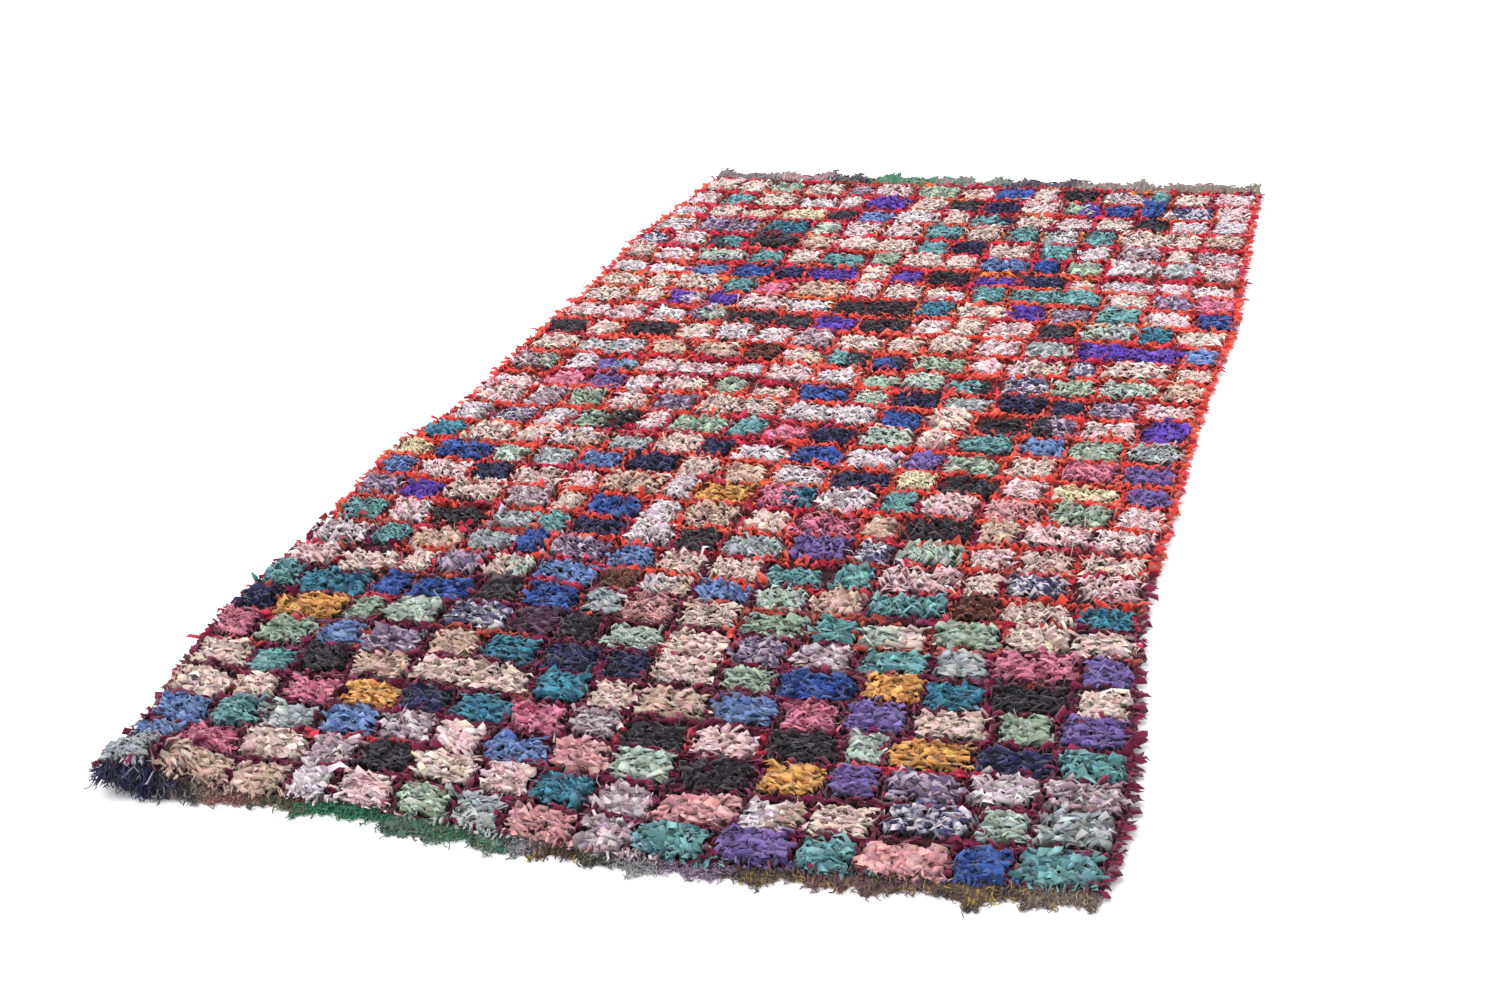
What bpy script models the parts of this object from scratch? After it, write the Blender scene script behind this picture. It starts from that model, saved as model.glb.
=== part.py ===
"""Boucherouite rug: a hand-knotted rag rug that lies on the floor, with one rippled corner.

The rug runs along Y, its near end at -Y, and its underside lies on z = 0. The knotted pile is one lumpy
slab, with a low block for each coloured box of knots, soft furrows between them and locks of rag at both
sides. The frayed end webs are two narrow strips with tapered strands. Metres throughout.
"""

import math
import random

import bmesh
import bpy
import numpy as np

# Driving sizes of the knotted field
PILE_NEAR_Y = -1.284
PILE_FAR_Y = 1.255
BOX_ROWS = 31
BOX_COLUMNS = 15
CELLS_PER_BOX = 3
NEAR_ROW_DEPTH = 0.0685
NEAR_EDGE_FADE = 2.0
ROW_WAVE = 0.006
ROW_WAVE_TURNS_ACROSS = 1.4
ROW_WAVE_TURNS_ALONG = 3.1

# Outline of the rug to the middle of its side locks, from the near end to the far end
OUTLINE_COLUMNS = ("y", "left_x", "right_x")
OUTLINE = (
    (-1.284, -0.563, 0.644),
    (-1.200, -0.582, 0.651),
    (-1.120, -0.594, 0.653),
    (-1.020, -0.616, 0.646),
    (-0.900, -0.637, 0.634),
    (-0.680, -0.634, 0.614),
    (-0.520, -0.638, 0.612),
    (-0.300, -0.652, 0.620),
    (-0.090, -0.614, 0.622),
    (0.200, -0.620, 0.632),
    (0.450, -0.611, 0.649),
    (0.820, -0.624, 0.641),
    (1.150, -0.596, 0.634),
    (1.255, -0.590, 0.640),
)
FIELD_INSET = 0.008

# Near edge of the pile: how far each place across lies behind the foremost one
NEAR_EDGE_COLUMNS = ("x", "behind")
NEAR_EDGE = (
    (-0.575, 0.012),
    (-0.500, 0.004),
    (-0.430, 0.022),
    (-0.300, 0.029),
    (-0.210, 0.030),
    (-0.110, 0.014),
    (0.020, 0.004),
    (0.140, 0.000),
    (0.210, 0.002),
    (0.300, 0.015),
    (0.450, 0.031),
    (0.640, 0.049),
)

# Pile heights above the underside
RIM_HEIGHT = 0.016
FURROW_HEIGHT = 0.019
CROWN_HEIGHT = 0.028
CROWN_SPREAD = 0.0035
PILE_JITTER = 0.0022

# Soft crease along the middle of the near half
CREASE_COLUMN = 8
CREASE_DEPTH = 0.005
CREASE_NEAR_Y = -1.10
CREASE_FAR_Y = -0.10

# Ripple that lifts the near left corner off the floor
RIPPLE_LIFT = 0.042
RIPPLE_INSET = 0.052
RIPPLE_REACH_ACROSS = 0.110
RIPPLE_REACH_ALONG = 0.135

# Locks of rag that stand out of the sides
LOCK_REACH_SHORT = 0.010
LOCK_REACH_LONG = 0.020
LOCK_EVERY = 2
LOCK_WAIST = 0.55
LOCK_TIP = 0.22
LOCK_SWAY = 0.007

# Frayed end webs
WEB_GAP = 0.0004
WEB_DEPTH = 0.010
WEB_HEIGHT = 0.004
STRANDS_PER_WEB = 84
STRAND_SHARE = 0.64
STRAND_WAIST = 0.62
STRAND_TIP = 0.28
STRAND_TIP_HEIGHT = 0.0016
STRAND_SWAY = 0.005
SCALLOPS_PER_WEB = 9

# Each web: the share of the length where it starts, which way it points, and the length of its strands
WEB_COLUMNS = ("name", "end", "outwards", "short", "long", "more_at_right")
WEBS = (
    ("web_near", 0.0, -1, 0.006, 0.027, 0.016),
    ("web_far", 1.0, 1, 0.022, 0.050, 0.000),
)

SEED = 29

# Colour, roughness and metallic value of each piece
FINISHES = {
    "pile": ((0.42, 0.24, 0.26, 1.0), 0.95, 0.0),
    "web_near": ((0.30, 0.24, 0.17, 1.0), 0.90, 0.0),
    "web_far": ((0.34, 0.33, 0.34, 1.0), 0.90, 0.0),
}


def clear_scene():
    for old in list(bpy.data.objects):
        bpy.data.objects.remove(old, do_unlink=True)


def finish(name):
    """A Principled material with the piece's own colour."""
    colour, roughness, metallic = FINISHES[name]
    material = bpy.data.materials.new(name)
    material.use_nodes = True
    shader = material.node_tree.nodes["Principled BSDF"]
    shader.inputs["Base Color"].default_value = colour
    shader.inputs["Roughness"].default_value = roughness
    shader.inputs["Metallic"].default_value = metallic
    return material


def outline_at(y, column):
    """Where the rug's side lies at y, at the middle of its locks."""
    places = [row[0] for row in OUTLINE]
    values = [row[OUTLINE_COLUMNS.index(column)] for row in OUTLINE]
    return float(np.interp(y, places, values))


def along(v):
    """Nominal y of the share v of the rug's length: the rows grow deeper towards the far end."""
    length = PILE_FAR_Y - PILE_NEAR_Y
    slope = NEAR_ROW_DEPTH * BOX_ROWS / length
    return PILE_NEAR_Y + length * (slope * v + (1 - slope) * v * v)


def place(u, v):
    """Floor position of the share u across and v along the knotted field."""
    y = along(v)
    left = outline_at(y, "left_x") + FIELD_INSET
    right = outline_at(y, "right_x") - FIELD_INSET
    x = left + (right - left) * u
    behind = float(np.interp(x, [row[0] for row in NEAR_EDGE], [row[1] for row in NEAR_EDGE]))
    turns = ROW_WAVE_TURNS_ACROSS * u + ROW_WAVE_TURNS_ALONG * v
    wave = ROW_WAVE * math.sin(2 * math.pi * turns) * math.sin(math.pi * v)
    return x, y + behind * (1 - v) ** NEAR_EDGE_FADE + wave


def lift(x, y):
    """Height of the underside above the floor, which is zero outside the rippled corner."""
    corner_x, corner_y = place(0, 0)
    across = (x - corner_x - RIPPLE_INSET) / RIPPLE_REACH_ACROSS
    behind = max(0.0, y - corner_y) / RIPPLE_REACH_ALONG
    share = math.hypot(across, behind)
    if share >= 1:
        return 0.0
    return RIPPLE_LIFT * math.cos(math.pi / 2 * share) ** 2


def crease(column, y):
    """How far the soft lengthwise crease sinks the pile on a column of points."""
    if column != CREASE_COLUMN * CELLS_PER_BOX:
        return 0.0
    share = (y - CREASE_NEAR_Y) / (CREASE_FAR_Y - CREASE_NEAR_Y)
    if not 0 < share < 1:
        return 0.0
    return CREASE_DEPTH * math.sin(math.pi * share)


def pile_height(column, row, last_column, last_row, crowns, chance):
    """Height of the pile over the underside at a point of the grid."""
    jitter = chance.uniform(-PILE_JITTER, PILE_JITTER)
    if column in (0, last_column) or row in (0, last_row):
        return RIM_HEIGHT + 0.5 * jitter
    if column % CELLS_PER_BOX == 0 or row % CELLS_PER_BOX == 0:
        return FURROW_HEIGHT + jitter
    return crowns[row // CELLS_PER_BOX][column // CELLS_PER_BOX] + jitter


def pile_points(mesh, chance):
    """Top and bottom points of the slab, as rows of vertices."""
    last_column = BOX_COLUMNS * CELLS_PER_BOX
    last_row = BOX_ROWS * CELLS_PER_BOX
    crowns = []
    for _ in range(BOX_ROWS):
        spreads = [chance.uniform(-CROWN_SPREAD, CROWN_SPREAD) for _ in range(BOX_COLUMNS)]
        crowns.append([CROWN_HEIGHT + spread for spread in spreads])
    top = []
    bottom = []
    for row in range(last_row + 1):
        top_row = []
        bottom_row = []
        for column in range(last_column + 1):
            x, y = place(column / last_column, row / last_row)
            low = lift(x, y)
            high = low + pile_height(column, row, last_column, last_row, crowns, chance) - crease(column, y)
            top_row.append(mesh.verts.new((x, y, high)))
            bottom_row.append(mesh.verts.new((x, y, low)))
        top.append(top_row)
        bottom.append(bottom_row)
    return top, bottom


def skin(mesh, top, bottom):
    """Faces of the slab; returns the faces of the two long sides and those that lie on the floor."""
    last_row = len(top) - 1
    last_column = len(top[0]) - 1
    lying = []
    for row in range(last_row):
        for column in range(last_column):
            corners = ((row, column), (row, column + 1), (row + 1, column + 1), (row + 1, column))
            mesh.faces.new([top[r][c] for r, c in corners])
            under = mesh.faces.new([bottom[r][c] for r, c in reversed(corners)])
            if max(vertex.co.z for vertex in under.verts) == 0:
                lying.append(under)
    for column in range(last_column):
        mesh.faces.new((bottom[0][column], bottom[0][column + 1], top[0][column + 1], top[0][column]))
        far = (bottom[last_row][column + 1], bottom[last_row][column], top[last_row][column])
        mesh.faces.new(far + (top[last_row][column + 1],))
    sides = []
    for row in range(last_row):
        left = (bottom[row + 1][0], bottom[row][0], top[row][0], top[row + 1][0])
        right = (bottom[row][-1], bottom[row + 1][-1], top[row + 1][-1], top[row][-1])
        sides.append((mesh.faces.new(left), -1))
        sides.append((mesh.faces.new(right), 1))
    return sides, lying


def pull_out(mesh, face, reach, width_share, height_share, sway, drop):
    """Extrudes a face outwards by reach and tapers its far end, whose foot sinks by drop of its height."""
    centre = face.calc_center_median()
    foot = min(vertex.co.z for vertex in face.verts)
    grown = bmesh.ops.extrude_discrete_faces(mesh, faces=[face])["faces"][0]
    for vertex in grown.verts:
        x = centre.x + (vertex.co.x - centre.x) * width_share + reach[0] + sway[0]
        y = centre.y + (vertex.co.y - centre.y) * width_share + reach[1] + sway[1]
        z = foot * (1 - drop) + (vertex.co.z - foot) * height_share
        vertex.co = (x, y, z)
    return grown


def grow_locks(mesh, sides, chance):
    """A flat tapered lock of rag on every few faces of the long sides."""
    for index, (face, side) in enumerate(sides):
        reach = chance.uniform(LOCK_REACH_SHORT, LOCK_REACH_LONG)
        sway = chance.uniform(-LOCK_SWAY, LOCK_SWAY)
        if (index // 2) % LOCK_EVERY:
            continue
        half = (side * reach / 2, 0.0)
        grown = pull_out(mesh, face, half, LOCK_WAIST, 0.8, (0.0, sway / 2), 0.3)
        pull_out(mesh, grown, half, LOCK_TIP / LOCK_WAIST, 0.5, (0.0, sway / 2), 0.5)


def strand_length(share, sizes, chance):
    """Length of the strand at a share of the web's width: scallops with a ragged edge."""
    short, long, more_at_right = sizes
    scallop = abs(math.sin(math.pi * SCALLOPS_PER_WEB * share))
    ragged = chance.uniform(0.0, 1.0)
    right_of_middle = max(0.0, 2 * share - 1)
    return short + (long - short) * (0.55 * scallop + 0.45 * ragged) + more_at_right * right_of_middle


def web_stops():
    """Shares of the width where strands start and end, from one side to the other."""
    stops = [0.0]
    for index in range(STRANDS_PER_WEB):
        stops.append((index + STRAND_SHARE) / (STRANDS_PER_WEB - 1 + STRAND_SHARE))
        if index < STRANDS_PER_WEB - 1:
            stops.append((index + 1) / (STRANDS_PER_WEB - 1 + STRAND_SHARE))
    return stops


def rim_point(share, end):
    """Place on the pile's straight-sided rim at a share of the width."""
    cells = BOX_COLUMNS * CELLS_PER_BOX
    before = min(math.floor(share * cells), cells - 1)
    beyond = share * cells - before
    x_before, y_before = place(before / cells, end)
    x_after, y_after = place((before + 1) / cells, end)
    return x_before + (x_after - x_before) * beyond, y_before + (y_after - y_before) * beyond


def web_section(mesh, share, end, outwards):
    """Four points of the strip's cross-section at a share of the width."""
    x, edge = rim_point(share, end)
    inner = edge + outwards * WEB_GAP
    outer = inner + outwards * WEB_DEPTH
    low = lift(x, edge)
    return (
        mesh.verts.new((x, inner, low)),
        mesh.verts.new((x, outer, low)),
        mesh.verts.new((x, outer, low + WEB_HEIGHT)),
        mesh.verts.new((x, inner, low + WEB_HEIGHT)),
    )


def web(name, end, outwards, sizes, chance):
    """A narrow strip along one end of the pile, with a row of tapered strands that rest on the floor."""
    mesh = bmesh.new()
    stops = web_stops()
    sections = [web_section(mesh, share, end, outwards) for share in stops]
    mesh.faces.new(sections[0])
    mesh.faces.new(tuple(reversed(sections[-1])))
    for index, (here, there) in enumerate(zip(sections, sections[1:])):
        faces = []
        for corner in range(4):
            after = (corner + 1) % 4
            faces.append(mesh.faces.new((here[corner], there[corner], there[after], here[after])))
        length = strand_length(stops[index], sizes, chance)
        sway = chance.uniform(-STRAND_SWAY, STRAND_SWAY)
        if index % 2:
            continue
        half = (0.0, outwards * length / 2)
        grown = pull_out(mesh, faces[1], half, STRAND_WAIST, 0.7, (sway / 2, 0.0), 0.55)
        tip_share = STRAND_TIP_HEIGHT / (WEB_HEIGHT * 0.7)
        pull_out(mesh, grown, half, STRAND_TIP / STRAND_WAIST, tip_share, (sway / 2, 0.0), 1.0)
    return add_piece(name, mesh)


def pile():
    """The knotted field as one lumpy slab, with locks at its long sides."""
    chance = random.Random(SEED)
    mesh = bmesh.new()
    top, bottom = pile_points(mesh, chance)
    sides, lying = skin(mesh, top, bottom)
    grow_locks(mesh, sides, chance)
    bmesh.ops.dissolve_faces(mesh, faces=lying, use_verts=False)
    return add_piece("pile", mesh)


def add_piece(name, mesh):
    """Puts a finished mesh into the scene as one named object with its own material."""
    bmesh.ops.recalc_face_normals(mesh, faces=mesh.faces[:])
    data = bpy.data.meshes.new(name)
    mesh.to_mesh(data)
    mesh.free()
    data.materials.append(finish(name))
    piece = bpy.data.objects.new(name, data)
    bpy.context.scene.collection.objects.link(piece)
    return piece


def main():
    clear_scene()
    pile()
    for index, (name, end, outwards, *sizes) in enumerate(WEBS):
        web(name, end, outwards, sizes, random.Random(SEED + 1 + index))


main()
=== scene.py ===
"""Looks of the boucherouite rug: its ground weave, rag pile, side locks and frayed end webs.

The rug lies along Y with its near end at -Y. Every tuft is a strip cut from a rag and knotted into the
ground row by row. Boxes of one or two rags are framed by wine and red knots. Metres throughout.
"""

import math

import bpy
import numpy as np
from mathutils import Matrix, Vector

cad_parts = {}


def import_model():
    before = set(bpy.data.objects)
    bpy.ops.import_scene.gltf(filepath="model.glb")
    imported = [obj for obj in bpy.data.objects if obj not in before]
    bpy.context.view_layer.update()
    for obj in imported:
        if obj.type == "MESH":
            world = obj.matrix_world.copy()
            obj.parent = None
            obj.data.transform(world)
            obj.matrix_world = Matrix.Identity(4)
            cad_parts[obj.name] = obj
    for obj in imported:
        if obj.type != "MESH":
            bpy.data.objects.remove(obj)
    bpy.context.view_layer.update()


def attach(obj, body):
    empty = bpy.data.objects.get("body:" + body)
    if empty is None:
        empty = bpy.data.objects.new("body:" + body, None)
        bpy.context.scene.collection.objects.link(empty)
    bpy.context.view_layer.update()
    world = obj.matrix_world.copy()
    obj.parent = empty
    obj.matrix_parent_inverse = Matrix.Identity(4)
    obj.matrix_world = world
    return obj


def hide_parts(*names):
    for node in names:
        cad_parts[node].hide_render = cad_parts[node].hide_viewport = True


# The knotted field, as in the solid model
PILE_NEAR_Y = -1.284
PILE_FAR_Y = 1.255
BOX_ROWS = 31
BOX_COLUMNS = 15
NEAR_ROW_DEPTH = 0.0685
NEAR_EDGE_FADE = 2.0
ROW_WAVE = 0.006
ROW_WAVE_TURNS_ACROSS = 1.4
ROW_WAVE_TURNS_ALONG = 3.1
FIELD_INSET = 0.008
OUTLINE_COLUMNS = ("y", "left_x", "right_x")
OUTLINE = (
    (-1.284, -0.563, 0.644),
    (-1.200, -0.582, 0.651),
    (-1.120, -0.594, 0.653),
    (-1.020, -0.616, 0.646),
    (-0.900, -0.637, 0.634),
    (-0.680, -0.634, 0.614),
    (-0.520, -0.638, 0.612),
    (-0.300, -0.652, 0.620),
    (-0.090, -0.614, 0.622),
    (0.200, -0.620, 0.632),
    (0.450, -0.611, 0.649),
    (0.820, -0.624, 0.641),
    (1.150, -0.596, 0.634),
    (1.255, -0.590, 0.640),
)

# Near edge of the pile: x, and how far the edge lies behind its foremost place there
NEAR_EDGE = (
    (-0.575, 0.012),
    (-0.500, 0.004),
    (-0.430, 0.022),
    (-0.300, 0.029),
    (-0.210, 0.030),
    (-0.110, 0.014),
    (0.020, 0.004),
    (0.140, 0.000),
    (0.210, 0.002),
    (0.300, 0.015),
    (0.450, 0.031),
    (0.640, 0.049),
)

# Ripple that lifts the near left corner
RIPPLE_LIFT = 0.042
RIPPLE_INSET = 0.052
RIPPLE_REACH_ACROSS = 0.110
RIPPLE_REACH_ALONG = 0.135
SLOPE_STEP = 0.002

# Ground weave
GROUND_FOOT = 0.0004
GROUND_THICKNESS = 0.003
GROUND_COLUMNS = 45
GROUND_ROWS = 93
GROUND_NEAR_TONE = (0.42, 0.10, 0.20)
GROUND_FAR_TONE = (0.62, 0.14, 0.16)
GROUND_TURNS_RED = (0.30, 0.45)
GROUND_TONE_SPREAD = 0.15
# The weave's tone is darkened to 0.7 underneath; on top it is darkened to 0.35, painted shade of the pile
# over it
GROUND_SHADE_BELOW = 0.70
GROUND_PAINTED_SHADE_ABOVE = 0.35

# Boxes of the pile: the near half has a seam, with more boxes left of it than right
LEFT_BOXES = 8
SEAM_SHARE = 0.508
SEAM_FADES = (0.45, 0.65)
SEAM_HOLD = 0.7
EDGE_WANDER = 0.013
EDGE_HOLD = 0.45
SLIMMEST_BOX = 0.042
FRAME_HALF_WIDTH = 0.0044
FRAME_DEPTHS = (0.23, 0.25)
FRAME_DEPTH_TURNS = (0.15, 0.60)
FRAME_DEPTH_SPREAD = 0.30
FRAME_DEPTH_MOST = 0.50
FRAMES_TURN_UNEVEN = (0.05, 0.45)
FRAME_RUN_CHANCE = 0.6
MERGE_CHANCE = 0.09
MIX_CHANCE = 0.16
MIX_SHARE = 0.58
MIX_BLUR = 0.08
ROW_SHIFT = 0.12
RUNGS_PER_BOX = 3
FIELD_RIM = 0.002

# Kinds of knots: in a box, in the frame behind a box, and in the frame beside one; lines of knots in each
BOX, RUNG, STILE = range(3)
KNOT_LINES = {BOX: 5, RUNG: 1, STILE: 4}
LINE_STRAY = 0.18
LINE_SLIP = 0.05
KNOT_FIELDS = ("u", "v", "u_low", "u_high", "v_low", "v_high", "yarn", "kind", "box")

# Bands of rows, a piece each: rings of a strip, then strips in a box, beside it and in a third behind it
BAND_COLUMNS = ("first_row", "rings", "in_box", "in_stile", "in_rung")
BANDS = (
    (0, 3, 128, 12, 9),
    (4, 3, 126, 12, 9),
    (8, 2, 106, 10, 9),
    (16, 2, 94, 10, 8),
    (24, 2, 94, 10, 8),
)

# Pile strips: where their near look turns into the far one; pairs hold the near and the far value
FAR_REGION = (0.18, 0.70)
STRIP_REACH = (0.0165, 0.0210)
STRIP_REACH_SPREAD = 0.30
STRIP_HEIGHT = (0.0195, 0.0145)
STRIP_HEIGHT_SPREAD = 0.17
STRIP_WIDTH = (0.0062, 0.0048)
STRIP_WIDTH_SPREAD = 0.28
STRIP_CRUMPLE = (0.0021, 0.0013)
STRIP_STRAY = (0.13, 0.20)
STRIP_SINK = (0.15, 0.75)
STRIP_ON_EDGE = 1.1
STRIP_ROLL_SPREAD = 0.6
UPRIGHT_CHANCE_FAR = 0.05
UPRIGHT_CHANCE_STILE = 0.6
FRAME_STRAY = 1.5
FRAME_WIDTH = (0.9, 1.2)
STILE_HEIGHT = (0.80, 0.78)
STILE_REACH = 0.5
RUNG_HEIGHT = (0.86, 0.96)
RUNG_REACH = 0.9
RAG_END_CHANCE = 0.02
RAG_END_WIDTH = 1.6
RAG_END_HEIGHT = 1.3

# How much the boxes differ from each other
BOX_HEIGHT_SPREAD = 0.10
BOX_WIDTH_SPREAD = 0.16
BOX_STRAY_SPREAD = 0.50
BOX_HEADING_SPREAD = 0.10

# How far a strip's tip may leave its box or frame; a few may leave it further
BOX_ROOM = 0.007
SPILL_ACROSS = (0.005, 0.007)
SPILL_ACROSS_RUNG = 0.03
SPILL_ALONG = (0.002, 0.006)
SPILL_ALONG_STILE = 0.02
LONG_SPILL_CHANCE = 0.10
LONG_SPILL = 0.008
LONG_SPILL_ALONG = 0.6

# Form of every strip: powers and shares of its rise, its fall over the rim, and its folded section
RISE_POWER = 2.6
LEAN_POWER = 1.25
ROOT_DEPTH = 0.6
LOOSE_FROM = 0.5
BOB_SHARE = 0.7
HANG_LEAST_START = 0.003
HANG_POWER = 1.7
HANG_BOB = 0.5
TWIST_SPREAD = 0.8
WIDTH_WOBBLE = (0.8, 1.2)
FOLD_SHARE = 0.3
RIDGE_LEAST = 0.22
RIDGE_MORE = 0.3
RIDGE_FOOT = 0.0005
FLOOR_CLEARANCE = 0.0004
SIDES = 3
TUFT_RINGS = 3

# Keep a direction where a strip stands upright, and where a vector has no length
NUDGE = 1e-4
LEAST_LENGTH = 1e-9

# Rings of a strip with three or two of them: where they sit, width and painted shade of each, and the
# tip's painted shade: darkest at the root among the strips, lightest at the tip
RINGS = {
    3: {
        "last": (0.62, 0.93), "stops": (0.0, 0.42, 1.0), "widths": (0.75, 1.05, 0.92),
        "painted_shades": (0.20, 0.76, 1.02, 1.10),
    },
    2: {"last": (0.45, 0.75), "stops": (0.0, 1.0), "widths": (0.85, 1.05), "painted_shades": (0.58, 1.02, 1.08)},
}

# Tone of the strips: a little darker at the near end, brighter far from it
NEAR_TONE = 0.94
FAR_TONE = 1.17
TONE_TURNS = (0.25, 0.75)
BRIGHTNESS_SPREAD = 0.17
TINT_SPREAD = 0.04
CORNER_TINT_SPREAD = 0.05
PRINTED = {"lilac_print": 0.5, "mauve_print": 0.45, "navy_print": 0.45}
BLOT_CHANCE_PLAIN = 0.06
CRISP_SHARE = 0.45
DARKEST = 0.002
BRIGHTEST = 0.95

# Pointed rag ends at both long sides
LOCKS_PER_SIDE = 320
SIDE_LOCK = {
    "reach": (0.008, 0.020), "height": (0.006, 0.017), "sink": (0.1, 0.8),
    "width": (0.005, 0.012), "crumple": 0.0020, "stray": 0.55, "roll": 0.7,
}
LOCK_INSET = 0.004
LOCK_REACH_NEAR_RIGHT = 1.25
LOCK_REACH_ELSEWHERE = 0.95
NEAR_RIGHT_ENDS = 0.4
LOCKS_RED_LIKE = 0.1
LOCKS_BRIGHT_LIKE = 0.6
LOCKS_TURN_BRIGHT = 0.33

# Tufts of the front row over the near edge
EDGE_TUFTS = 460
EDGE_TUFT = {
    "reach": (0.003, 0.013), "height": (0.004, 0.018), "rest": (0.001, 0.014),
    "width": (0.0030, 0.0058), "crumple": 0.0028, "stray": 0.8, "roll": 0.9,
}
EDGE_LINE = 0.0012
EDGE_WINE_CHANCE = 0.18
EDGE_HELD_UP = 0.9

# Dark tufts at the lifted corner: a clump's share across, its lean to the left and its share of the drop
CORNER_TUFTS = 300
CORNER_TUFT = {
    "reach": (0.004, 0.022), "height": (-0.003, 0.002),
    "width": (0.0012, 0.0034), "crumple": 0.0060, "stray": 0.9, "roll": 0.9,
}
CORNER_CLUMPS = (
    (0.003, 1.2, 0.15),
    (0.008, 0.9, 0.30),
    (0.016, 0.6, 0.60),
    (0.024, 0.4, 0.90),
    (0.032, 0.1, 1.00),
    (0.045, 0.0, 0.45),
    (0.066, -0.4, 0.60),
    (0.078, -0.2, 0.95),
)
CLUMP_SPREAD = 0.004
CLUMP_DROP = (0.5, 1.1)
CORNER_END = 0.1
LOWEST_REST = 0.001
# Dark tufts that fill the hollow under the ripple to darken it, painted shade: their share, place across
# and along, and how far they drop
HOLLOW_SHADE_TUFT_SHARE = 0.4
HOLLOW_ACROSS = (0.024, 0.085)
HOLLOW_ALONG = (0.004, 0.028)
HOLLOW_DROP = 0.9
CORNER_RAGS = ("navy", "charcoal", "navy", "silver")
CORNER_RAG_SHARES = (0.40, 0.25, 0.25, 0.10)

# Thin curly threads all over the pile
LOOSE_THREADS = 900
LOOSE_THREAD = {
    "reach": (0.010, 0.026), "height": (0.018, 0.027), "sink": (-0.1, 0.4),
    "width": (0.0009, 0.0015), "crumple": 0.0040, "roll": 1.0,
}

# Frayed webs: share across and reach, first the near one
NEAR_REACH = (
    (0.00, 0.016),
    (0.10, 0.020),
    (0.25, 0.022),
    (0.34, 0.033),
    (0.48, 0.021),
    (0.66, 0.017),
    (0.80, 0.028),
    (1.00, 0.038),
)
FAR_REACH = (
    (0.00, 0.036),
    (0.30, 0.044),
    (0.60, 0.038),
    (1.00, 0.046),
)

# Edge of the webs: waves as a share of the reach, radians across the width, and phase; then torn tabs
SCALLOP_WAVES = (
    (0.26, 18 * math.pi, 1.1),
    (0.22, 121.0, 0.0),
    (0.14, 263.0, 0.0),
)
WEB_TABS = 15
TAB_DRIFT = 0.35
TAB_DRIFT_RATE = 9.0
TAB_SQUARENESS = 0.5
TAB_ROOT = 0.30
TAB_TIP = 1.22
TABS_BEGIN = (0.45, 0.62)

# How the ripple holds up a web, and how a web curls up
HELD_SHARE = 0.9
HELD_WIDTH = 0.045
CURL_RATE = 97.0
CURL_RUFFLE = 0.2
CURL_TURN = 0.6

# Net of a web
NET_COLUMNS = 640
NET_STEPS = 5
NET_SHARE = 0.92
NET_TUCK = 0.004
NET_FOOT = 0.0006
NET_THICKNESS = 0.0014
NET_FINGERS = (0.82, 1.0)
NET_ROUGHNESS = 0.0007
NET_DROP_POWER = 1.2
NET_SLACK = 0.10
NET_SLACK_RATE = 310.0
NET_LUMP = 0.0022
NET_LUMP_RATE = 260.0
NET_LUMP_SKEW = 5.0
# The net under the threads is darkened, painted shade of the threads over it
NET_PAINTED_SHADE = 0.85

# Threads of a web
WEB_RIM = 0.001
THREAD_STRAY = 1.0
THREAD_CALM_ENDS = 20.0
THREAD_BEGIN = (-0.1, 0.85)
THREAD_LENGTH = (0.003, 0.010)
HOOK_CHANCE = 0.10
HOOK_LENGTH = 2.0
THREAD_COIL = (0.0014, 0.0036)
THREAD_TURNS = (0.5, 1.5)
THREAD_HOP = 0.0045
THREAD_HOP_TURNS = 1.3
THREAD_RADIUS = (0.0005, 0.0011)
# Painted shade along each thread: darker at its root, lighter at its tip
THREAD_PAINTED_SHADES = (0.70, 1.05)
THREAD_SETTLES = 0.9
RIGHT_PART = (0.45, 0.70)

# Cloth: roughness, sheen, how fine its relief is and how strong; then what all cloths share
CLOTHS = {
    "rag": (0.92, 0.25, 420.0, 0.7),
    "frayed_web": (0.70, 0.15, 1400.0, 0.6),
    "ground": (0.95, 0.10, 700.0, 0.8),
}
CLOTH_SPECULAR = 0.22
SHEEN_ROUGHNESS = 0.45
WEAR = {"Scale": 190.0, "Detail": 4.0, "Roughness": 0.65}
WEAR_TONES = {"From Min": 0.3, "From Max": 0.7, "To Min": 0.80, "To Max": 1.14}
RELIEF = {"Detail": 4.0, "Roughness": 0.6}
RELIEF_DEPTH = 0.002

# Unit cell of a strand on the bake map: rings, sides, tip, and the middle and radii of its root face
CELL_RINGS = (0.16, 0.78)
CELL_SIDES = (0.06, 0.94)
CELL_TIP = 0.95
CELL_ROOT = (0.5, 0.08)
CELL_ROOT_RADII = (0.3, 0.05)

# Studio
ROOM_LIGHT = 1.0
KEY_LIGHT = 2.3
KEY_SPREAD_DEG = 50
KEY_FROM = (-0.45, -0.35, 1.0)
FLOOR_HALF = 25.0
FLOOR_TONE = (0.90, 0.90, 0.91, 1.0)
FLOOR_FINISH = {"Roughness": 0.9, "Specular IOR Level": 0.1}

# Camera, fitted to the photograph's perspective
CAMERA_PLACE = (0.850, -2.975, 1.300)
CAMERA_HEADING = (-0.314, 0.949)
CAMERA_PITCH_DEG = 25.3
CAMERA_ROLL_DEG = -3.6
PHOTO_WIDTH = 1500
FOCAL_PIXELS = 2000
SENSOR_WIDTH = 36.0
SEEN_FROM = 0.05
SEEN_TO = 100.0

BODY = "root"
BAKE_MAP = "OFBake"
SEED = 41
BOX_SEED = SEED + 7
FRAME_SEED = SEED + 100

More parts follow.
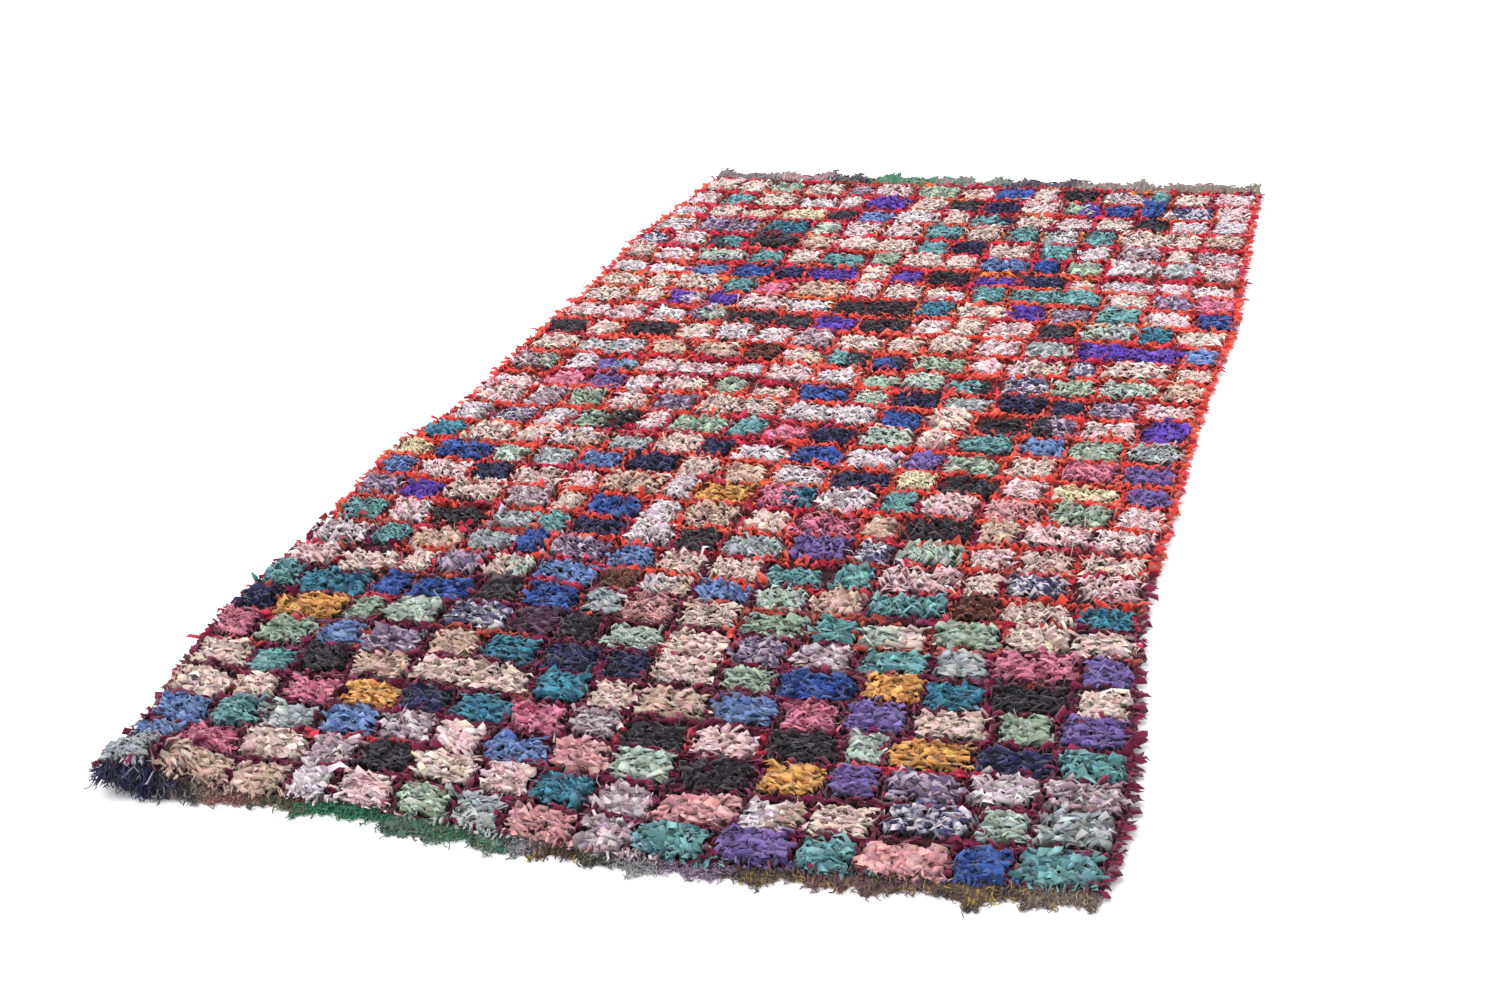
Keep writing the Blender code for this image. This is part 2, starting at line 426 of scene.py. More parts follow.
# Rag colours as seen, in sRGB: main tone, second tone, share of the second tone
YARNS = {
    "cream": ((0.92, 0.82, 0.78), (0.83, 0.71, 0.68), 0.25),
    "beige": ((0.84, 0.72, 0.66), (0.76, 0.63, 0.57), 0.25),
    "pale_pink": ((0.94, 0.81, 0.82), (0.86, 0.70, 0.72), 0.25),
    "ivory": ((0.90, 0.85, 0.87), (0.80, 0.73, 0.77), 0.25),
    "sage": ((0.67, 0.73, 0.66), (0.55, 0.62, 0.56), 0.3),
    "mint": ((0.74, 0.79, 0.75), (0.64, 0.69, 0.66), 0.3),
    "teal": ((0.47, 0.67, 0.68), (0.33, 0.52, 0.55), 0.35),
    "petrol": ((0.27, 0.54, 0.63), (0.17, 0.38, 0.48), 0.35),
    "cornflower": ((0.46, 0.56, 0.76), (0.35, 0.44, 0.64), 0.35),
    "royal": ((0.25, 0.38, 0.68), (0.16, 0.24, 0.48), 0.35),
    "navy": ((0.20, 0.20, 0.38), (0.11, 0.11, 0.22), 0.4),
    "charcoal": ((0.25, 0.22, 0.26), (0.14, 0.12, 0.15), 0.4),
    "violet": ((0.40, 0.27, 0.70), (0.29, 0.18, 0.54), 0.35),
    "purple": ((0.50, 0.42, 0.68), (0.40, 0.32, 0.56), 0.35),
    "lilac_print": ((0.74, 0.66, 0.74), (0.44, 0.36, 0.50), 0.45),
    "mauve_print": ((0.66, 0.54, 0.60), (0.84, 0.78, 0.80), 0.35),
    "navy_print": ((0.27, 0.27, 0.44), (0.84, 0.81, 0.85), 0.4),
    "rose": ((0.86, 0.52, 0.62), (0.76, 0.40, 0.52), 0.3),
    "dusty_pink": ((0.87, 0.65, 0.65), (0.78, 0.54, 0.56), 0.3),
    "ochre": ((0.90, 0.68, 0.40), (0.78, 0.53, 0.27), 0.35),
    "butter": ((0.93, 0.87, 0.75), (0.86, 0.78, 0.65), 0.3),
    "plum": ((0.40, 0.26, 0.36), (0.26, 0.16, 0.23), 0.4),
    "brown": ((0.46, 0.28, 0.22), (0.32, 0.18, 0.14), 0.4),
    "silver": ((0.72, 0.74, 0.75), (0.60, 0.62, 0.64), 0.35),
    "wine": ((0.50, 0.12, 0.28), (0.38, 0.07, 0.19), 0.4),
    "crimson": ((0.82, 0.19, 0.30), (0.66, 0.12, 0.22), 0.35),
    "rust": ((0.75, 0.31, 0.27), (0.60, 0.20, 0.20), 0.35),
    "vermilion": ((0.95, 0.34, 0.28), (0.86, 0.22, 0.20), 0.35),
    "cherry": ((0.86, 0.17, 0.26), (0.72, 0.10, 0.19), 0.35),
    "orange": ((0.92, 0.46, 0.26), (0.84, 0.36, 0.20), 0.3),
}

# Which rags the boxes are drawn from: share in the near, middle and far third, first the light ones
THIRDS = (1 / 6, 1 / 2, 5 / 6)
LIGHT_YARNS = (
    ("cream", 5, 7, 8),
    ("beige", 4, 2, 1),
    ("pale_pink", 4, 4, 4),
    ("ivory", 2, 4, 4),
    ("mint", 0.5, 0.9, 1),
    ("butter", 0, 0.1, 0.1),
    ("silver", 1.2, 1, 1),
)
DARK_YARNS = (
    ("sage", 1.2, 2.6, 2),
    ("teal", 2, 3, 3),
    ("petrol", 1, 1, 0.3),
    ("cornflower", 1.2, 1.5, 1.2),
    ("royal", 0.5, 1.2, 0.8),
    ("navy", 1, 2, 1.6),
    ("charcoal", 1, 2, 3),
    ("violet", 0, 0.3, 1.2),
    ("purple", 0.3, 0.6, 1.0),
    ("lilac_print", 2, 2.6, 2.8),
    ("mauve_print", 3, 1.2, 1),
    ("navy_print", 0.6, 1, 1),
    ("rose", 1, 1, 1.2),
    ("dusty_pink", 1.8, 1.2, 0.8),
    ("brown", 0.2, 0.3, 0.5),
)
LIGHT_CHANCE_ON_LIGHT = 0.88
LIGHT_CHANCE_ON_DARK = 0.56

# Boxes that catch the eye: each rag's rows from the near end and columns from the left
ACCENTS = {
    "silver": ((0, 0), (0, 6), (1, 14), (2, 2)),
    "cornflower": (
        (1, 0), (2, 0), (2, 3), (2, 6), (4, 9), (8, 5), (8, 8), (9, 6), (12, 0), (13, 4),
        (24, 2), (25, 9),
    ),
    "royal": (
        (0, 13), (5, 10), (7, 2), (7, 5), (9, 4), (11, 5), (14, 8), (16, 9), (17, 7), (24, 3),
        (29, 11), (29, 12),
    ),
    "navy": (
        (3, 4), (3, 13), (5, 6), (5, 7), (6, 0), (10, 5), (12, 2), (13, 5), (13, 9), (15, 8),
        (17, 12), (24, 10), (26, 8),
    ),
    "charcoal": (
        (1, 4), (2, 9), (3, 8), (3, 10), (4, 2), (5, 13), (6, 6), (10, 2), (10, 7), (13, 11),
        (16, 11), (21, 4), (21, 11), (26, 3), (28, 4), (28, 12),
    ),
    "teal": (
        (0, 9), (0, 11), (0, 14), (2, 1), (3, 14), (4, 1), (6, 11), (7, 0), (7, 10), (8, 11),
        (9, 10), (10, 0), (10, 4), (12, 10), (15, 6), (22, 12), (23, 9), (25, 5),
    ),
    "petrol": ((1, 7), (3, 5), (4, 6), (5, 5), (5, 12), (8, 14), (22, 8)),
    "mint": ((1, 13), (2, 8), (3, 11), (13, 2), (17, 8)),
    "sage": ((4, 13), (5, 1), (6, 2), (14, 11), (15, 13), (18, 12)),
    "rose": ((1, 1), (3, 2), (3, 6), (4, 10), (5, 0), (14, 13), (23, 4), (23, 14)),
    "dusty_pink": ((0, 12), (0, 7), (1, 9), (2, 7)),
    "mauve_print": ((0, 8), (1, 8), (1, 3), (2, 14)),
    "lilac_print": ((2, 12), (6, 9), (8, 3), (16, 4)),
    "navy_print": ((1, 12), (9, 13)),
    "ochre": ((2, 10), (3, 3), (3, 12), (5, 11), (6, 1), (12, 7)),
    "butter": ((13, 0), (13, 10), (13, 13)),
    "cream": ((3, 1), (4, 0), (4, 7), (5, 8)),
    "purple": ((0, 10), (2, 11), (4, 11), (4, 14), (6, 14), (13, 14), (14, 14)),
    "violet": ((11, 1), (21, 6), (22, 3), (22, 10), (24, 5), (24, 7), (24, 9)),
    "brown": ((8, 6), (8, 12)),
    "plum": ((6, 5),),
}

# Rags of the framing knots from the near end to the far end: share of the length, then each rag's share
FRAME_COLUMNS = ("v", "wine", "rust", "crimson", "vermilion", "cherry", "orange")
FRAME_SHARES = (
    (0.00, 9, 0.0, 0.2, 0, 0, 0),
    (0.10, 9, 0.1, 0.3, 0, 0, 0),
    (0.16, 8, 0.5, 0.7, 0.1, 0, 0),
    (0.21, 6, 1.5, 1.5, 0.5, 0, 0),
    (0.25, 4, 3, 1.5, 0.5, 0, 0),
    (0.29, 1.5, 2, 3, 3, 0, 0),
    (0.33, 0.4, 0.8, 3, 6, 0, 0),
    (0.42, 0.1, 0.2, 1.5, 8, 0, 0.2),
    (0.76, 0, 0.1, 1.2, 8, 0.5, 0.4),
    (0.81, 0, 0.1, 2.0, 2.5, 5, 0.3),
    (0.92, 0.2, 1, 2, 1, 4, 1.5),
    (1.00, 0.5, 2, 2, 0.5, 2, 1.5),
)

# Web colours across, from the left: where the zone begins, then its main, second and third colour
NEAR_ZONES = (
    (0.00, (0.13, 0.12, 0.26), (0.20, 0.18, 0.36), (0.10, 0.09, 0.14)),
    (0.075, (0.50, 0.47, 0.43), (0.18, 0.16, 0.20), (0.62, 0.58, 0.52)),
    (0.12, (0.55, 0.36, 0.35), (0.62, 0.44, 0.40), (0.34, 0.25, 0.22)),
    (0.17, (0.42, 0.38, 0.30), (0.34, 0.36, 0.28), (0.50, 0.36, 0.30)),
    (0.215, (0.16, 0.46, 0.34), (0.11, 0.34, 0.25), (0.26, 0.54, 0.42)),
    (0.31, (0.38, 0.46, 0.42), (0.20, 0.40, 0.34), (0.20, 0.20, 0.22)),
    (0.36, (0.34, 0.44, 0.36), (0.18, 0.44, 0.34), (0.50, 0.48, 0.40)),
    (0.45, (0.60, 0.56, 0.62), (0.50, 0.46, 0.50), (0.70, 0.68, 0.72)),
    (0.475, (0.36, 0.25, 0.16), (0.24, 0.17, 0.14), (0.66, 0.52, 0.18)),
    (0.52, (0.28, 0.28, 0.25), (0.40, 0.40, 0.36), (0.18, 0.17, 0.18)),
    (0.555, (0.56, 0.56, 0.57), (0.70, 0.70, 0.71), (0.40, 0.40, 0.42)),
    (0.60, (0.50, 0.43, 0.52), (0.60, 0.54, 0.62), (0.34, 0.26, 0.34)),
    (0.665, (0.36, 0.29, 0.22), (0.26, 0.21, 0.20), (0.58, 0.48, 0.22)),
    (0.72, (0.44, 0.32, 0.32), (0.30, 0.22, 0.24), (0.58, 0.46, 0.26)),
    (0.77, (0.42, 0.31, 0.32), (0.28, 0.20, 0.22), (0.54, 0.42, 0.24)),
    (0.85, (0.38, 0.30, 0.24), (0.28, 0.22, 0.22), (0.66, 0.54, 0.24)),
    (0.93, (0.46, 0.41, 0.38), (0.34, 0.28, 0.27), (0.58, 0.50, 0.36)),
)
FAR_ZONES = (
    (0.00, (0.46, 0.42, 0.44), (0.60, 0.52, 0.52), (0.34, 0.30, 0.34)),
    (0.12, (0.72, 0.58, 0.58), (0.52, 0.46, 0.48), (0.44, 0.30, 0.36)),
    (0.22, (0.22, 0.20, 0.24), (0.42, 0.40, 0.44), (0.30, 0.44, 0.38)),
    (0.30, (0.24, 0.50, 0.40), (0.16, 0.40, 0.30), (0.60, 0.56, 0.54)),
    (0.42, (0.50, 0.46, 0.46), (0.28, 0.52, 0.42), (0.72, 0.56, 0.60)),
    (0.55, (0.24, 0.20, 0.26), (0.46, 0.40, 0.44), (0.34, 0.30, 0.34)),
    (0.68, (0.56, 0.50, 0.48), (0.44, 0.38, 0.38), (0.66, 0.60, 0.58)),
    (0.86, (0.50, 0.46, 0.42), (0.60, 0.54, 0.48), (0.40, 0.32, 0.32)),
)
ZONE_SHARES = (0.55, 0.30, 0.15)
ZONE_BLUR = 0.008
ZONE_TONE_SPREAD = 0.16

# The two webs: their ends of the rug, how they reach, tear and curl, and their threads
NEAR_WEB = {
    "name": "web_near", "v": 0.0, "away": -1.0, "reach": NEAR_REACH, "zones": NEAR_ZONES, "torn": 1.0,
    "curl": 0.0, "threads": 1700, "points": 9, "longer": 1.0, "height": (0.001, 0.010), "fall": 1.0,
    "thicker": 1.0, "brightness": (1.15, 1.50),
}
FAR_WEB = {
    "name": "web_far", "v": 1.0, "away": 1.0, "reach": FAR_REACH, "zones": FAR_ZONES, "torn": 0.0,
    "curl": 0.017, "threads": 1400, "points": 7, "longer": 1.3, "height": (0.001, 0.006), "fall": -2.0,
    "thicker": 2.3, "brightness": (1.70, 1.70),
}


def linear(colour):
    """sRGB to linear light."""
    colour = np.asarray(colour, float)
    return np.where(colour <= 0.04045, colour / 12.92, ((colour + 0.055) / 1.055) ** 2.4)


def smooth(low, high, value):
    share = np.clip((value - low) / (high - low), 0, 1)
    return share * share * (3 - 2 * share)


def between(pair, share):
    return pair[0] * (1 - share) + pair[1] * share


def inside_field(share):
    return np.clip(share, FIELD_RIM, 1 - FIELD_RIM)


def spread(size, count, chance):
    """Factors around one."""
    return np.exp(chance.normal(0, size, count))


def unit(vectors):
    return vectors / np.maximum(np.linalg.norm(vectors, axis=-1, keepdims=True), LEAST_LENGTH)


# The field and its ripple


def outline_at(y, column):
    table = np.array(OUTLINE)
    return np.interp(y, table[:, 0], table[:, OUTLINE_COLUMNS.index(column)])


def along(v):
    length = PILE_FAR_Y - PILE_NEAR_Y
    slope = NEAR_ROW_DEPTH * BOX_ROWS / length
    return PILE_NEAR_Y + length * (slope * v + (1 - slope) * v * v)


def place(u, v):
    """Floor position of the share u across and v along the knotted field."""
    y = along(v)
    left = outline_at(y, "left_x") + FIELD_INSET
    right = outline_at(y, "right_x") - FIELD_INSET
    x = left + (right - left) * u
    edge = np.array(NEAR_EDGE)
    behind = np.interp(x, edge[:, 0], edge[:, 1])
    turns = ROW_WAVE_TURNS_ACROSS * u + ROW_WAVE_TURNS_ALONG * v
    wave = ROW_WAVE * np.sin(2 * math.pi * turns) * np.sin(math.pi * v)
    return x, y + behind * (1 - v) ** NEAR_EDGE_FADE + wave


def lift(x, y):
    """Height of the underside above the floor."""
    corner_x, corner_y = place(0.0, 0.0)
    across = (x - corner_x - RIPPLE_INSET) / RIPPLE_REACH_ACROSS
    behind = np.maximum(0, y - corner_y) / RIPPLE_REACH_ALONG
    share = np.minimum(1, np.hypot(across, behind))
    return RIPPLE_LIFT * np.cos(math.pi / 2 * share) ** 2


def surface(u, v):
    """Points on the underside and the directions across, along and up there."""
    x, y = place(u, v)
    rise_x = (lift(x + SLOPE_STEP, y) - lift(x - SLOPE_STEP, y)) / (2 * SLOPE_STEP)
    rise_y = (lift(x, y + SLOPE_STEP) - lift(x, y - SLOPE_STEP)) / (2 * SLOPE_STEP)
    one, nil = np.ones_like(x), np.zeros_like(x)
    across = unit(np.stack([one, nil, rise_x], -1))
    up = unit(np.stack([-rise_x, -rise_y, one], -1))
    return np.stack([x, y, lift(x, y)], -1), across, np.cross(up, across), up


# Layout of the boxes


def box_edges(row, wander, chance):
    """Shares across where the boxes of a row begin, with the seam of the near half.

    The edges stray from even places, and partly hold their stray place from row to row.
    """
    v = (row + 0.5) / BOX_ROWS
    even = np.linspace(0, 1, BOX_COLUMNS + 1)
    left = np.linspace(0, SEAM_SHARE, LEFT_BOXES + 1)
    right = np.linspace(SEAM_SHARE, 1, BOX_COLUMNS - LEFT_BOXES + 1)
    seamed = np.concatenate([left, right[1:]])
    fade = smooth(*SEAM_FADES, v)
    edges = seamed * (1 - fade) + even * fade
    wander[:] = EDGE_HOLD * wander + chance.uniform(-EDGE_WANDER, EDGE_WANDER, BOX_COLUMNS - 1)
    seam_share = 1 - SEAM_HOLD * (1 - fade) * (np.arange(1, BOX_COLUMNS) == LEFT_BOXES)
    edges[1:-1] += wander * seam_share
    for index in range(1, BOX_COLUMNS):
        edges[index] = max(edges[index], edges[index - 1] + SLIMMEST_BOX)
    return edges


def drawn_yarn(table, v, chance):
    """One rag from a table of shares, at the share v of the length."""
    shares = np.array([np.interp(v, THIRDS, row[1:]) for row in table])
    return table[chance.choice(len(table), p=shares / shares.sum())][0]


def box_plan(chance):
    """The rag or two of every box and whether it runs into the box on its right."""
    rags = []
    merged = np.zeros((BOX_ROWS, BOX_COLUMNS), bool)
    for row in range(BOX_ROWS):
        v = (row + 0.5) / BOX_ROWS
        line = []
        for column in range(BOX_COLUMNS):
            likely = LIGHT_CHANCE_ON_LIGHT if (row + column) % 2 else LIGHT_CHANCE_ON_DARK
            table = LIGHT_YARNS if chance.random() < likely else DARK_YARNS
            count = 2 if chance.random() < MIX_CHANCE else 1
            line.append([drawn_yarn(table, v, chance) for _ in range(count)])
        rags.append(line)
        for column in range(1, BOX_COLUMNS - 1):
            merged[row, column] = chance.random() < MERGE_CHANCE and not merged[row, column - 1]
    for yarn, boxes in ACCENTS.items():
        for row, column in boxes:
            rags[row][column] = [yarn]
            merged[row, column] = False
            merged[row, max(0, column - 1)] = False
    for row, column in np.argwhere(merged):
        rags[row][column + 1] = rags[row][column]
    return rags, merged


def frame_runs(count, v, chance):
    """Framing rags along one row; neighbours often share theirs."""
    table = np.array(FRAME_SHARES)
    names = FRAME_COLUMNS[1:]
    shares = np.array([np.interp(v, table[:, 0], table[:, 1 + i]) for i in range(len(names))])
    drawn = chance.choice(len(names), count, p=shares / shares.sum())
    for index in np.flatnonzero(chance.random(count) < FRAME_RUN_CHANCE):
        drawn[index] = drawn[index - 1]
    return [names[i] for i in drawn]


def spread_knots(rows, span, count, rags, kind, box, chance):
    """Adds the strips of one box or one stretch of frame: roots in lines, spread with a little chance."""
    low_u, high_u, low_v, high_v = span
    lines = KNOT_LINES[kind]
    index = np.arange(count)
    line = index % lines
    share = (index // lines + chance.random(count)) / -(-count // lines)
    slip = chance.normal(0, LINE_SLIP if kind == BOX else 0, lines)[line]
    u = inside_field(low_u + (high_u - low_u) * (share + slip))
    v = low_v + (high_v - low_v) * (line + 0.5 + chance.normal(0, LINE_STRAY, count)) / lines
    first, second = (list(YARNS).index(rag) for rag in (rags[0], rags[-1]))
    yarn = np.where(share + chance.normal(0, MIX_BLUR, count) < MIX_SHARE, first, second)
    same = [np.full(count, value, float) for value in (*span, kind, box)]
    rows.append(np.stack([u, v, *same[:4], yarn.astype(float), *same[4:]]))


def band_of(row):
    """The band of rows that a row belongs to, as a named row of the table."""
    inside = [band for band in BANDS if band[0] <= row][-1]
    return dict(zip(BAND_COLUMNS, inside))


def row_knots(rows, row, rags, merged, edges, chance):
    """Adds the boxes and frames of one row."""
    band = band_of(row)
    v = (row + 0.5) / BOX_ROWS
    around = frame_runs(BOX_COLUMNS * RUNGS_PER_BOX, v, chance)
    beside = frame_runs(BOX_COLUMNS + 1, v, chance)
    low = row / BOX_ROWS
    top = (row + 1) / BOX_ROWS
    depth = np.interp(low, FRAME_DEPTH_TURNS, FRAME_DEPTHS)
    stray = np.random.default_rng(FRAME_SEED + row).normal(0, FRAME_DEPTH_SPREAD, BOX_COLUMNS + 1)
    uneven = np.exp((stray[:-1] + stray[-1]) * smooth(*FRAMES_TURN_UNEVEN, v))
    for column in range(BOX_COLUMNS):
        high = top - np.minimum(FRAME_DEPTH_MOST, depth * uneven[column]) / BOX_ROWS
        box = row * BOX_COLUMNS + column
        joined_left = column > 0 and merged[row, column - 1]
        left = edges[column] + (0 if joined_left else FRAME_HALF_WIDTH)
        right = edges[column + 1] - (0 if merged[row, column] else FRAME_HALF_WIDTH)
        shift = chance.uniform(-ROW_SHIFT, ROW_SHIFT) / BOX_ROWS
        span = (left, right, max(0, low + shift), high + shift)
        spread_knots(rows, span, band["in_box"], rags[row][column], BOX, box, chance)
        if not joined_left:
            middle = max(edges[column], FRAME_HALF_WIDTH)
            span = (middle - FRAME_HALF_WIDTH, middle + FRAME_HALF_WIDTH, low, high)
            spread_knots(rows, span, band["in_stile"], [beside[column]], STILE, box, chance)
        for part in range(RUNGS_PER_BOX):
            share = np.array([part, part + 1]) / RUNGS_PER_BOX
            ends = edges[column] + (edges[column + 1] - edges[column]) * share
            rag = around[column * RUNGS_PER_BOX + part]
            spread_knots(rows, (*ends, high, top), band["in_rung"], [rag], RUNG, box, chance)
    span = (1 - FRAME_HALF_WIDTH * 2, 1.0, low, high)
    spread_knots(rows, span, band["in_stile"], [beside[-1]], STILE, box, chance)


def knots(rags, merged, chance):
    """Every rag strip of the pile, as an array for each name in KNOT_FIELDS."""
    rows = []
    wander = np.zeros(BOX_COLUMNS - 1)
    for row in range(BOX_ROWS):
        row_knots(rows, row, rags, merged, box_edges(row, wander, chance), chance)
    return dict(zip(KNOT_FIELDS, np.concatenate(rows, 1)))


def chosen(field, keep):
    return {name: values[keep] for name, values in field.items()}


# Rag strips


def yarn_tones(yarn, chance):
    """Main colour of each strip and the colour that it is printed or worn with."""
    names = list(YARNS)
    number = yarn.astype(int)
    main = linear([YARNS[name][0] for name in names])[number]
    second = linear([YARNS[name][1] for name in names])[number]
    share = np.array([YARNS[name][2] for name in names])[number]
    swap = (chance.random(len(yarn)) < share)[:, None]
    main, second = np.where(swap, second, main), np.where(swap, main, second)
    bright = spread(BRIGHTNESS_SPREAD, (len(yarn), 1), chance)
    tint = spread(TINT_SPREAD, (len(yarn), 3), chance)
    return main * bright * tint, second * bright


def strip_path(shape, t, chance):
    """Middle line of each strip: it rises from its knot, leans over and dips at its tip."""
    foot, across, ahead, up = surface(shape["u"], shape["v"])
    reach, height, sink = (shape[name][:, None] for name in ("reach", "height", "sink"))
    heading, crumple = shape["heading"][:, None], shape["crumple"][:, None]
    out = reach * t**LEAN_POWER
    rise = GROUND_THICKNESS * ROOT_DEPTH + height * (1 - (1 - t) ** RISE_POWER) * (1 - sink * t**2)
    loose = crumple * np.minimum(1, t / LOOSE_FROM)
    weave = chance.normal(0, 1, t.shape) * loose
    bob = chance.normal(0, BOB_SHARE, t.shape) * loose
    local_x = out * np.cos(heading) - weave * np.sin(heading)
    local_y = out * np.sin(heading) + weave * np.cos(heading)
    local_z = np.maximum(rise + bob, GROUND_THICKNESS)
    line = foot[:, None] + local_x[..., None] * across[:, None] + local_y[..., None] * ahead[:, None]
    return line + local_z[..., None] * up[:, None], up


def hanging_path(shape, t, chance):
    """Middle line of each strip that starts on the pile's rim, leans out and falls towards the floor."""
    foot, _, _, up = surface(shape["u"], shape["v"])
    reach, heading, crumple = (shape[name][:, None] for name in ("reach", "heading", "crumple"))
    weave = chance.normal(0, 1, t.shape) * crumple * np.minimum(1, t / LOOSE_FROM)
    x = foot[:, None, 0] + reach * t * np.cos(heading) - weave * np.sin(heading)
    y = foot[:, None, 1] + reach * t * np.sin(heading) + weave * np.cos(heading)
    start = np.maximum(foot[:, None, 2] + shape["height"][:, None], HANG_LEAST_START)
    z = start + (shape["rest"][:, None] - start) * t**HANG_POWER + HANG_BOB * np.abs(weave)
    return np.stack([x, y, z], -1), up


def strips(shape, path, rings, chance):
    """Corners of the rings of each strip, and its tip."""
    count = len(shape["u"])
    style = RINGS[rings]
    last = chance.uniform(*style["last"], (count, 1))
    t = np.concatenate([last * np.array(style["stops"]), np.ones((count, 1))], 1)
    line, up = path(shape, t, chance)
    tangent = unit(np.gradient(line, axis=1))[:, :rings]
    level = unit(np.cross(tangent, up[:, None]) + NUDGE)
    over = np.cross(tangent, level)
    twist = chance.normal(0, TWIST_SPREAD, (count, 1)) * np.linspace(0, 1, rings)
    roll = shape["roll"][:, None] + twist
    wide = level * np.cos(roll)[..., None] + over * np.sin(roll)[..., None]
    thick = np.cross(tangent, wide)
    wobble = chance.uniform(*WIDTH_WOBBLE, (count, rings))
    width = np.array(style["widths"]) * shape["width"][:, None] * wobble
    fold = chance.uniform(-FOLD_SHARE, FOLD_SHARE, (count, rings)) * width
    ridge = (RIDGE_LEAST + RIDGE_MORE * chance.random((count, rings))) * width + RIDGE_FOOT
    middle = line[:, :rings]
    left = middle - wide * (width / 2)[..., None]
    right = middle + wide * (width / 2)[..., None]
    crest = middle + thick * ridge[..., None] + wide * fold[..., None]
    corners = np.stack([left, right, crest], 2)
    tips = line[:, rings]
    corners[..., 2] = np.maximum(corners[..., 2], FLOOR_CLEARANCE)
    tips[..., 2] = np.maximum(tips[..., 2], FLOOR_CLEARANCE)
    return corners, tips


def strip_colours(main, second, printed, rings, chance):
    """Colour of every ring corner and tip: painted shade, dark at the root and light at the tip, and
    blotched where the rag is printed.
    """
    count = len(main)
    blot = chance.random((count, rings + 1, 1)) < printed[:, None, None]
    # Painted shade along each strip: darkest at its root, lightest at its tip
    painted_shades = np.array(RINGS[rings]["painted_shades"])[None, :, None]
    colour = np.where(blot, second[:, None], main[:, None]) * painted_shades
    colour = colour * spread(CORNER_TINT_SPREAD, (count, rings + 1, 3), chance)
    return np.repeat(colour[:, :rings, None], SIDES, 2), colour[:, rings]


def cell_places(rings, sides):
    """Places within a unit cell for the corners of a strand's sides, its root face and its tip."""
    ring = np.linspace(*CELL_RINGS, rings)
    side = np.linspace(*CELL_SIDES, sides + 1)
    quads = []
    for low, high in zip(ring[:-1], ring[1:]):
        for left, right in zip(side[:-1], side[1:]):
            quads += [(left, low), (right, low), (right, high), (left, high)]
    tips = []
    for left, right in zip(side[:-1], side[1:]):
        tips += [(left, ring[-1]), (right, ring[-1]), ((left + right) / 2, CELL_TIP)]
    turn = np.arange(sides) / sides * 2 * math.pi
    root = np.array(CELL_ROOT) + np.array(CELL_ROOT_RADII) * np.stack([np.cos(turn), np.sin(turn)], -1)
    return np.array(quads), root, np.array(tips)


def strand_mesh(name, corners, tips, corner_colours, tip_colours, crisp=None):
    """One mesh of many closed strips or threads, each with a flat root and a pointed tip."""
    count, rings, sides, _ = corners.shape
    each = rings * sides + 1
    first = np.arange(count)[:, None] * each
    ring = (np.arange(rings - 1) * sides)[:, None]
    side = np.arange(sides)[None, :]
    here = (ring + side).reshape(-1)
    there = (ring + (side + 1) % sides).reshape(-1)
    quads = np.stack([here, there, there + sides, here + sides], -1).reshape(-1)
    root = np.arange(sides)[::-1]
    last = (rings - 1) * sides
    cone = np.stack([last + side[0], last + (side[0] + 1) % sides, np.full(sides, each - 1)], -1)
    loops = np.concatenate([(first + part.reshape(-1)).reshape(-1) for part in (quads, root, cone)])
    faces = ((count * len(quads) // 4, 4), (count, sides), (count * sides, 3))
    sizes = np.concatenate([np.full(number, corners_each) for number, corners_each in faces])
    points = np.concatenate([corners.reshape(count, -1, 3), tips[:, None]], 1)
    colours = np.concatenate([corner_colours.reshape(count, -1, 3), tip_colours[:, None]], 1)
    mesh = bpy.data.meshes.new(name)
    mesh.vertices.add(count * each)
    mesh.vertices.foreach_set("co", points.reshape(-1).astype(np.float32))
    mesh.loops.add(len(loops))
    mesh.loops.foreach_set("vertex_index", loops.astype(np.int32))
    mesh.polygons.add(len(sizes))
    starts = np.concatenate([[0], np.cumsum(sizes)[:-1]])
    mesh.polygons.foreach_set("loop_start", starts.astype(np.int32))
    mesh.update(calc_edges=True)
    mesh.shade_smooth()
    if crisp is not None:
        sharpen(mesh, crisp, each, sides)
    cells = math.ceil(math.sqrt(count))
    index = np.arange(count)
    corner = np.stack([index % cells, index // cells], -1)[:, None]
    places = [((corner + part[None]) / cells).reshape(-1, 2) for part in cell_places(rings, sides)]
    layer = mesh.uv_layers.new(name=BAKE_MAP)
    layer.uv.foreach_set("vector", np.concatenate(places).reshape(-1).astype(np.float32))
    paint(mesh, colours.reshape(-1, 3))
    return mesh


def sharpen(mesh, crisp, each, sides):
    """Marks the long edges of the crisp strips sharp: they read as cut cloth, and the rest look rolled."""
    ends = np.empty(len(mesh.edges) * 2, np.int32)
    mesh.edges.foreach_get("vertices", ends)
    chosen_strip = crisp[ends.reshape(-1, 2)[:, 0] // each]
    place_in_strip = ends.reshape(-1, 2) % each
    corner = place_in_strip % sides
    tip = (place_in_strip == each - 1).any(-1)
    lengthwise = (corner[:, 0] == corner[:, 1]) | tip
    crest = (corner == sides - 1).any(-1) & ~tip
    crest |= tip & (place_in_strip.min(-1) % sides == sides - 1)
    mark = mesh.attributes.new("sharp_edge", "BOOLEAN", "EDGE")
    mark.data.foreach_set("value", lengthwise & ~crest & chosen_strip)


def paint(mesh, colours):
    """Keeps a linear colour at every point as the attribute rag."""
    full = np.ones((len(colours), 4), np.float32)
    full[:, :3] = np.clip(colours, DARKEST, BRIGHTEST)
    layer = mesh.color_attributes.new("rag", "FLOAT_COLOR", "POINT")
    layer.data.foreach_set("color", full.reshape(-1))


